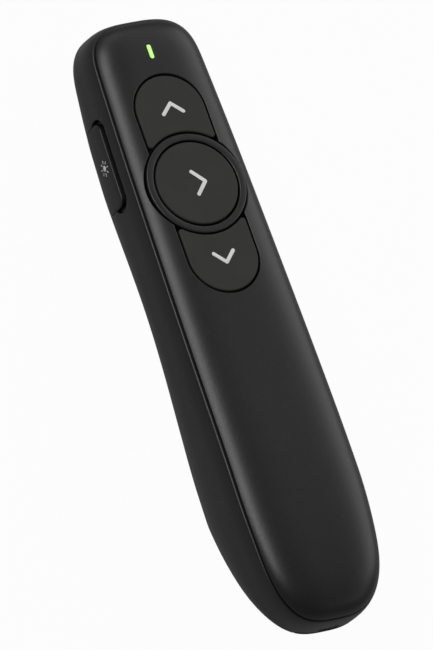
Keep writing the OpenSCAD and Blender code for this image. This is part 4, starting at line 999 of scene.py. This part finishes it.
def closed(tree, given, result):
    # ends a tree with real geometry in the given material
    real = put(tree, "GeometryNodeRealizeInstances", {"Geometry": result})
    paint = put(tree, "GeometryNodeSetMaterial", {"Geometry": real.outputs[0], "Material": given["Material"]})
    put(tree, "NodeGroupOutput", {"Geometry": paint.outputs[0]})
    return tree


def madeBy(tree, name, points, edges, values):
    # runs a tree on a small carrier mesh and returns its result as a plain mesh object
    obj = newObject(name, points, [], edges)
    run = obj.modifiers.new("run", "NODES")
    run.node_group = tree
    for socket in tree.interface.items_tree:
        if socket.in_out == "INPUT" and socket.name in values:
            run[socket.identifier] = values[socket.name]
    return applied(obj)


def turnedTree():
    # sweeps the carrier's edge profile round a circle
    tree, given = nodeTree("turnedPiece", (("Radius", "Float", 1.0), ("Sides", "Int", 96)))
    path = put(tree, "GeometryNodeCurvePrimitiveCircle", {
        "Resolution": given["Sides"], "Radius": given["Radius"]})
    profile = put(tree, "GeometryNodeMeshToCurve", {"Mesh": given["Geometry"]})
    sweep = put(tree, "GeometryNodeCurveToMesh", {
        "Curve": path.outputs["Curve"], "Profile Curve": profile.outputs["Curve"]})
    weld = put(tree, "GeometryNodeMergeByDistance", {"Geometry": sweep.outputs["Mesh"], "Distance": 0.0005})
    return closed(tree, given, weld.outputs["Geometry"])


turnedPiece = turnedTree()


def turned(name, profile, sides, material):
    # solid of revolution about Z from (radius, height) points; both ends lie on the axis or meet each other
    radius = max(r for r, z in profile)
    points = [(r - radius, -z, 0.0) for r, z in profile]
    edges = [(i, i + 1) for i in range(len(points) - 1)]
    if profile[0] != profile[-1] and profile[0][0] > 1e-6:
        edges.append((len(points) - 1, 0))
    return tidySolid(madeBy(turnedPiece, name, points, edges,
                            {"Radius": float(radius), "Sides": sides, "Material": material}), 1e-4)


def roundedCorner(r, z, radius, startAngle, endAngle, steps=7):
    # points of a fillet whose corner is at (r, z); the angles are of its own circle
    half = math.radians((startAngle + endAngle) / 2)
    middleR = r - math.copysign(radius, math.cos(half))
    middleZ = z - math.copysign(radius, math.sin(half))
    return [(middleR + radius * math.cos(a), middleZ + radius * math.sin(a))
            for a in np.radians(np.linspace(startAngle, endAngle, steps))]


def ontoDeck(obj):
    points = pointsOf(obj)
    return putPoints(obj, atPlace(points[:, :2], points[:, 2], deckPlace))


# deck keys and their ring
deckKeys = dict(
    roundR=9.4, ringIn=9.8, ringOut=11.43, ringDrop=0.15, ringLip=0.3, holeR=11.8, arrowR=8.1,
    arrowOffset=16.9, tipRound=0.7, lip=0.35, cap=-1.6, land=0.12, skirt=0.8,
    dish=0.06, dishRadii=(8.6, 7.5, 6.0, 4.0, 2.0, 0.0),
    flangeLow=-2.95, flangeTop=-2.25, flangeReach=0.9, postR=1.5, postLow=-4.4, overlap=0.05,
    frameTop=-3.45, frameLow=-4.25, frameW=22.4, frameL=60.0, frameRound=3.0, floorReach=0.5,
    screwX=6.0, screwY=28.2, collarR=1.7, collarLow=-5.85, boreR=0.7, boreSpan=(-7, -3),
    guidePlay=0.3, guideSpan=(-5, -3), notch=((-1.375, 28.65, -5), (1.375, 50, -2.5)),
)


def roundKey():
    k = deckKeys
    neck, edge = k["roundR"] - k["skirt"], k["dishRadii"][0]
    profile = [(0, k["postLow"]), (k["postR"], k["postLow"]), (k["postR"], k["flangeLow"]),
               (neck, k["flangeLow"]), (neck, k["cap"]), (k["roundR"], k["cap"])]
    profile += roundedCorner(k["roundR"], 0.0, k["lip"], 0, 90)
    profile += [(r, -k["dish"] * (1 - (r / edge) ** 2)) for r in k["dishRadii"]]
    return finished(ontoDeck(turned("roundKey", profile, 144, keyBlack)), "next_key",
                    ["next_button"], keyBlack, 40, "deck")


def keyFrame():
    k = deckKeys
    low, top = k["frameLow"], k["frameTop"]
    profile = [(k["ringIn"], low), (k["ringOut"], low)]
    profile += roundedCorner(k["ringOut"], -k["ringDrop"], k["ringLip"], 0, 90)
    profile += roundedCorner(k["ringIn"], -k["ringDrop"], k["ringLip"], 90, 180)
    ring = turned("ring", profile, 144, shellBlack)

    def disc(name, radius, count, x, y, span):
        return slab(name, flatPlace, moved(circleLine(radius, count), x, y), *span)

    outline = barLine(k["frameW"], k["frameL"], k["frameRound"], 4.0, 8)
    web = slab("keyFrame", flatPlace, outline, low, top)
    join(web, disc("floor", k["ringIn"] + k["floorReach"], 96, 0, 0, (low, top)))
    join(web, ring)
    for x in (-k["screwX"], k["screwX"]):
        for y in (-k["screwY"], k["screwY"]):
            join(web, disc("collar", k["collarR"], 32, x, y, (k["collarLow"], low + k["overlap"])))
            cut(web, disc("bore", k["boreR"], 24, x, y, k["boreSpan"]))
    for y in (-k["arrowOffset"], 0, k["arrowOffset"]):
        cut(web, disc("guide", k["postR"] + k["guidePlay"], 40, 0, y, k["guideSpan"]))
    cut(web, boxSolid("notch", *k["notch"]))
    return finished(ontoDeck(web), "housing", ["key_frame"], shellBlack, 40, "deck")


def arrowLine(inset=0.0, reach=0.0):
    # plan of an arrow key: round outer end, straight sides, rounded tips, hollow end along the ring
    k = deckKeys
    r, ring, tip = k["arrowR"] - inset + reach, k["holeR"] + inset, max(k["tipRound"] - inset, 0.08)
    tipX = r - tip
    tipY = math.sqrt((ring + tip) ** 2 - tipX ** 2)
    lean = math.atan2(tipY, tipX)

    def arc(x, y, radius, start, end, count):
        return [(x + radius * math.cos(a), y + radius * math.sin(a)) for a in np.linspace(start, end, count)]

    points = arc(0, k["arrowOffset"], r, 0, math.pi, 61)
    points += [(-r, k["arrowOffset"] + (tipY - k["arrowOffset"]) * i / 5) for i in range(1, 5)]
    points += arc(-tipX, tipY, tip, math.pi, 2 * math.pi - lean, 12)
    points += arc(0, 0, ring, math.pi - lean, lean, 42)[1:-1]
    points += arc(tipX, tipY, tip, math.pi + lean, 2 * math.pi, 12)
    points += [(r, tipY + (k["arrowOffset"] - tipY) * i / 5) for i in range(1, 5)]
    return np.array(points)


def arrowKey(name, way, bodyName, node):
    k = deckKeys

    def ring(inset, z, reach=0.0):
        return flatRing(arrowLine(inset, reach) * (1, way), z)

    rounding = [ring(k["lip"] * (1 - math.cos(a)), -k["lip"] * (1 - math.sin(a)))
                for a in np.radians(np.linspace(0, 90, 7))]
    key = loft(name, [ring(0, k["cap"]), *rounding, ring(k["lip"] + k["land"], 0.0)])
    low, lap = k["flangeLow"], k["overlap"]
    skirt = loft("skirt", [ring(k["skirt"], low), ring(k["skirt"], k["cap"] + lap)])
    flange = loft("flange", [ring(0.0, z, k["flangeReach"]) for z in (low, k["flangeTop"])])
    stem = post("stem", k["postR"], 40, 0, way * k["arrowOffset"], k["postLow"], low + lap)
    join(key, join(skirt, join(flange, stem)))
    return finished(ontoDeck(key), bodyName, [node], keyBlack, 40, "deck")


roundKey()
keyFrame()
arrowKey("upKey", 1, "up_key", "up_button")
arrowKey("downKey", -1, "down_key", "down_button")
print("deck keys made")

# marks on the keys
marks = dict(
    stroke=0.41, thick=0.03, sink=0.05, edge=0.02, up=((-2.06, 16.27), (0.32, 18.50), (2.70, 16.27)),
    down=((-2.06, -16.22), (0.30, -18.52), (2.64, -16.22)),
    next=((-0.50, 2.63), (1.98, 0.03), (-0.50, -2.57)),
    sunY=10.1, sunZ=-9.65, sunR=0.62, sunThick=0.08, sunSink=0.01, sunTurn=0.09,
    rayIn=1.14, rayOut=1.66, rayW=0.12, rays=8,
)


def strokeLine(a, b, c, half, arc=9):
    # outline of a bent stroke with round ends and a round apex, anticlockwise
    a, b, c = (np.array(p, float) for p in (a, b, c))
    d1, d2 = (b - a) / np.linalg.norm(b - a), (c - b) / np.linalg.norm(c - b)
    if d1[0] * d2[1] - d1[1] * d2[0] < 0:
        return strokeLine(c, b, a, half, arc)
    n1, n2 = np.array((d1[1], -d1[0])), np.array((d2[1], -d2[0]))

    def fan(middle, start, end):
        s, e = math.atan2(start[1], start[0]), math.atan2(end[1], end[0])
        e += 2 * math.pi if e < s else 0
        return [middle + half * np.array((math.cos(t), math.sin(t))) for t in np.linspace(s, e, arc)]

    inner = b - (n1 + n2) * half / (1 + n1 @ n2)
    return np.array(fan(a, -n1, n1) + fan(b, n1, n2) + fan(c, n2, -n2) + [inner])


def keyMark(name, points, bodyName, dish=0.0):
    m = marks
    line, slim = strokeLine(*points, m["stroke"]), strokeLine(*points, m["stroke"] - m["edge"])
    rings = [flatRing(line, -m["sink"] - dish), flatRing(line, m["thick"] * 0.6), flatRing(slim, m["thick"])]
    return finished(ontoDeck(loft(name, rings)), bodyName, (), markInk, 50)


def rayTree():
    # copies of one ray, turned round the middle of the sun
    tree, given = nodeTree("sunRays", (("Count", "Int", 8), ("Inner", "Float", 1.1), ("Length", "Float", 0.5),
                                       ("Width", "Float", 0.2), ("Depth", "Float", 0.05)))
    circle = put(tree, "GeometryNodeMeshCircle", {"Vertices": given["Count"], "Radius": given["Inner"]})
    ray = put(tree, "GeometryNodeMeshCylinder", {
        "Vertices": 16, "Radius": given["Width"], "Depth": given["Depth"]})
    place = put(tree, "GeometryNodeInputPosition").outputs["Position"]
    axes = put(tree, "ShaderNodeSeparateXYZ", {"Vector": place})
    far = put(tree, "FunctionNodeCompare", {"A": axes.outputs["X"], "B": 0.0})
    shift = put(tree, "ShaderNodeCombineXYZ", {"X": given["Length"]})
    stretch = put(tree, "GeometryNodeSetPosition", {
        "Geometry": ray.outputs["Mesh"], "Selection": far.outputs["Result"],
        "Offset": shift.outputs["Vector"]})
    aim = put(tree, "FunctionNodeAlignRotationToVector", {"Vector": place}, axis="X")
    spread = put(tree, "GeometryNodeInstanceOnPoints", {
        "Points": circle.outputs["Mesh"], "Instance": stretch.outputs["Geometry"],
        "Rotation": aim.outputs["Rotation"]})
    return closed(tree, given, spread.outputs["Instances"])


def sunMark():
    m = marks
    half = m["sunThick"] / 2
    rays = madeBy(rayTree(), "sunMark", [(0, 0, 0)], [], {
        "Count": m["rays"], "Inner": m["rayIn"], "Length": m["rayOut"] - m["rayIn"], "Width": m["rayW"],
        "Depth": m["sunThick"], "Material": markInk})
    r = m["sunR"]
    profile = [(0, -half), (r, -half), (r, half / 2), (r - m["edge"], half), (0, half)]
    sun = merged("sunMark", [rays, turned("disc", profile, 40, markInk)])
    points = pointsOf(sun)
    c, t = math.cos(m["sunTurn"]), math.sin(m["sunTurn"])
    flat = points[:, :2] @ np.array(((c, t), (-t, c))) + (m["sunY"], m["sunZ"])
    depth = skinDepth(flat, leftPlace) + sideKeys["laserProud"] + points[:, 2] - m["sunSink"]
    tidySolid(putPoints(sun, atPlace(flat, depth, leftPlace)))
    return finished(sun, "laser_key", (), markInk, 50)


keyMark("upMark", marks["up"], "up_key")
keyMark("downMark", marks["down"], "down_key")
keyMark("nextMark", marks["next"], "next_key", deckKeys["dish"])
sunMark()
print("marks made")

# light, screws, spring
small = dict(
    lightL=3.15, lightW=1.02, lightRound=0.4, lightTop=-0.1, lightLow=-5.05, lightEdge=0.2,
    lightBevel=(0.06, 0.07), lightFoot=((-1.775, 28.25, -2.85), (1.775, 33.55, -2.35)),
    screwHeadR=1.8, screwHeadH=1.2, screwHeadRound=0.35, screwR=0.98, screwL=6.6, screwTip=7.2,
    crossW=0.42, crossL=2.0, crossDepth=0.7,
    springR=3.589, springTip=2.2, springWire=0.3, springTurns=3.0, springStart=0.4, springEnd=-47.0043,
)


def lightGuide():
    s = small
    flat, normal = upright(barLine(s["lightL"], s["lightW"], s["lightRound"], 0.5, 12))
    middle, (inward, down) = (lid["lightX"], lid["lightY"]), s["lightBevel"]
    top, edge = s["lightTop"], s["lightEdge"]
    steps = [(0, s["lightLow"]), (0, top - edge), (inward, top - down), (edge, top)]
    guide = loft("lightGuide", [flatRing(flat - normal * d + middle, z) for d, z in steps])
    join(guide, boxSolid("foot", *s["lightFoot"]))
    return finished(ontoDeck(guide), "housing", ["light_pipe"], lightGreen, 40)


def screwTree():
    # one screw at every point of the carrier
    tree, given = nodeTree("screwRow", (("Screw", "Object", None),))
    model = put(tree, "GeometryNodeObjectInfo", {"Object": given["Screw"]})
    spread = put(tree, "GeometryNodeInstanceOnPoints", {
        "Points": given["Geometry"], "Instance": model.outputs["Geometry"]})
    return closed(tree, given, spread.outputs["Instances"])


def caseScrews():
    s = small
    headR, headH = s["screwHeadR"], s["screwHeadH"]
    profile = [(0, -headH)] + roundedCorner(headR, -headH, s["screwHeadRound"], 270, 360, 6)
    profile += [(headR, 0.0), (s["screwR"], 0.0), (s["screwR"], s["screwL"]), (0, s["screwTip"])]
    screw = turned("screw", profile, 48, screwSteel)
    for x, y in ((s["crossW"] / 2, s["crossL"] / 2), (s["crossL"] / 2, s["crossW"] / 2)):
        cut(screw, boxSolid("slot", (-x, -y, -2.0), (x, y, s["crossDepth"] - headH)))
    row = madeBy(screwTree(), "caseScrews", [(x, y, base["seatZ"]) for x, y in screwPlaces], [],
                 {"Screw": screw, "Material": screwSteel})
    bpy.data.objects.remove(screw)
    return finished(row, "housing", ["case_screws"], screwSteel)


def springTree():
    # wire of the given radius along a tapering coil
    tree, given = nodeTree("coilSpring", (
        ("Base", "Float", 3.6), ("Tip", "Float", 2.2), ("Run", "Float", 1.6), ("Turns", "Float", 3.0),
        ("Wire", "Float", 0.3)))
    coil = put(tree, "GeometryNodeCurveSpiral", {
        "Resolution": 48, "Rotations": given["Turns"], "Start Radius": given["Base"],
        "End Radius": given["Tip"], "Height": given["Run"]})
    wire = put(tree, "GeometryNodeCurvePrimitiveCircle", {"Resolution": 12, "Radius": given["Wire"]})
    sweep = put(tree, "GeometryNodeCurveToMesh", {
        "Curve": coil.outputs["Curve"], "Profile Curve": wire.outputs["Curve"], "Fill Caps": True})
    return closed(tree, given, sweep.outputs["Mesh"])


def batterySpring():
    s, wire = small, small["springWire"]
    start, tail = base["bayTail"] + s["springStart"] + wire, s["springEnd"] - wire
    coil = madeBy(springTree(), "batterySpring", [(0, 0, 0)], [], {
        "Base": s["springR"], "Tip": s["springTip"], "Run": tail - start, "Turns": s["springTurns"],
        "Wire": wire, "Material": contactNickel})
    x, y, z = pointsOf(coil).T
    tidySolid(putPoints(coil, np.column_stack((x, z + start, -y + base["cellZ"]))), 1e-4)
    return finished(coil, "housing", ["battery_spring"], contactNickel, 60)


lightGuide()
caseScrews()
batterySpring()
print("light, screws and spring made")

# finishes of the solids that stay
carried = dict(
    status_led=ledWhite, main_board=boardGreen, laser_driver=boardGreen, radio_chip=chipBlack,
    laser_switch=chipBlack, crystal_can=canMetal, next_switch=canMetal, up_switch=canMetal,
    down_switch=canMetal, power_switch=canMetal, next_plunger=plungerBlack, up_plunger=plungerBlack,
    down_plunger=plungerBlack, laser_plunger=plungerBlack, power_lever=plungerBlack, laser_window=windowRed,
    laser_barrel=barrelBrass, laser_lens=lensClear, battery_cell=cellWrap, negative_contact=contactNickel,
    positive_contact=contactNickel, receiver_plug=plugSteel, receiver_tongue=tongueWhite,
    board_screws=screwSteel)
for node, material in carried.items():
    held = nodes[node].data
    held.materials.clear()
    held.materials.append(material)
print("carried solids painted:", len(carried))

# floor, camera and light
studio = dict(
    floorSize=3.0, floorWhite=0.97, floorMirror=0.03, world=0.125, worldMirror=0.02, distance=2500.0,
    floorLook=dict(colour=srgb(166, 166, 166), lighter=1.02, cloud=60.0, sheen=(9.0, 0.75, 0.85)),
    viewHeight=137.0, sensor=24.0, right=4.006, up=-29.88,
    rows=((0.8665, -0.3242, 0.3795), (0.1699, 0.9065, 0.3864), (-0.4693, -0.2704, 0.8406)),
    aim=(0.0, 0.0, 0.012), reach=0.9,
    lamps=(
        dict(name="leftBand", way=(-0.46, 0.30, 0.84), size=(0.9, 0.42), power=5.0),
        dict(name="leftEdge", way=(-0.66, 0.25, 0.70), size=(0.9, 0.16), power=0.5),
        dict(name="rightBand", way=(0.84, 0.26, 0.47), size=(0.9, 0.58), power=2.8),
        dict(name="headFill", way=(0.20, 0.85, 0.50), size=(0.5, 0.3), power=0.5),
        dict(name="tailFill", way=(0.70, -0.50, 0.50), size=(0.6, 0.3), power=0.3),
    ),
)


def whiteForCamera(tree, shader, kind, seenShare, mirrorShare):
    # the camera sees white, and mirrors and glass see some of it; the rest is lit, so the shadow stays
    out = next(n for n in tree.nodes if n.type in ("OUTPUT_MATERIAL", "OUTPUT_WORLD"))
    rays, total = put(tree, "ShaderNodeLightPath").outputs, 0.0
    for ray, share in (("Is Camera Ray", seenShare), ("Is Glossy Ray", mirrorShare),
                       ("Is Transmission Ray", mirrorShare)):
        total = computed(tree, "MULTIPLY_ADD", rays[ray], share, total, use_clamp=True)
    white = put(tree, kind, {"Color": (1, 1, 1, 1), "Strength": 1.0})
    mix = put(tree, "ShaderNodeMixShader", {0: total, 1: shader, 2: white.outputs[0]})
    feed(tree, out, {"Surface": mix.outputs[0]})


def makeFloor():
    s, look = studio, studio["floorLook"]
    half = s["floorSize"] / 2
    floor = newObject("floor", [(-half, -half, 0), (half, -half, 0), (half, half, 0), (-half, half, 0)],
                      [[0, 1, 2, 3]])
    material, tree, shader, place = startMaterial("paleFloor")
    second = tuple(min(1.0, c * look["lighter"]) for c in look["colour"])
    feed(tree, shader, {"Base Color": clouded(tree, place, dict(look, second=second), look["cloud"], 2.0),
                        "Roughness": sheen(tree, place, look)})
    whiteForCamera(tree, shader.outputs[0], "ShaderNodeEmission", s["floorWhite"], s["floorMirror"])
    floor.data.materials.append(material)


def makeWorld():
    scene.world = world = scene.world or bpy.data.worlds.new("world")
    world.use_nodes = True
    tree = world.node_tree
    tree.nodes.clear()
    put(tree, "ShaderNodeOutputWorld")
    sky = put(tree, "ShaderNodeBackground", {"Color": (1, 1, 1, 1), "Strength": studio["world"]})
    whiteForCamera(tree, sky.outputs[0], "ShaderNodeBackground", 1.0, studio["worldMirror"])


def makeLamps():
    for lamp in studio["lamps"]:
        light = bpy.data.lights.new(lamp["name"], "AREA")
        light.shape, (light.size, light.size_y), light.energy = "RECTANGLE", lamp["size"], lamp["power"]
        obj = linked(lamp["name"], light)
        way = Vector(lamp["way"]).normalized()
        obj.location = Vector(studio["aim"]) + way * studio["reach"]
        obj.rotation_euler = (-way).to_track_quat("-Z", "Y").to_euler()


def makeCamera():
    s = studio
    right, up, back = (r[0] * acrossDir + r[1] * alongDir + r[2] * deckUp for r in np.array(s["rows"]))
    middle = deckMiddle + right * s["right"] + up * s["up"]
    camera = bpy.data.cameras.new("camera")
    camera.sensor_fit, camera.sensor_height, camera.sensor_width = "VERTICAL", s["sensor"], s["sensor"]
    camera.lens = s["sensor"] * s["distance"] / s["viewHeight"]
    camera.clip_start, camera.clip_end = 0.1, 20.0
    eye = linked("camera", camera)
    eye.location = Vector((middle + back * s["distance"]) * mm)
    eye.rotation_euler = Matrix((right, up, back)).transposed().to_euler()
    scene.camera = eye


makeFloor()
makeWorld()
makeLamps()
makeCamera()
scene.view_settings.view_transform = "Standard"
print("studio made")
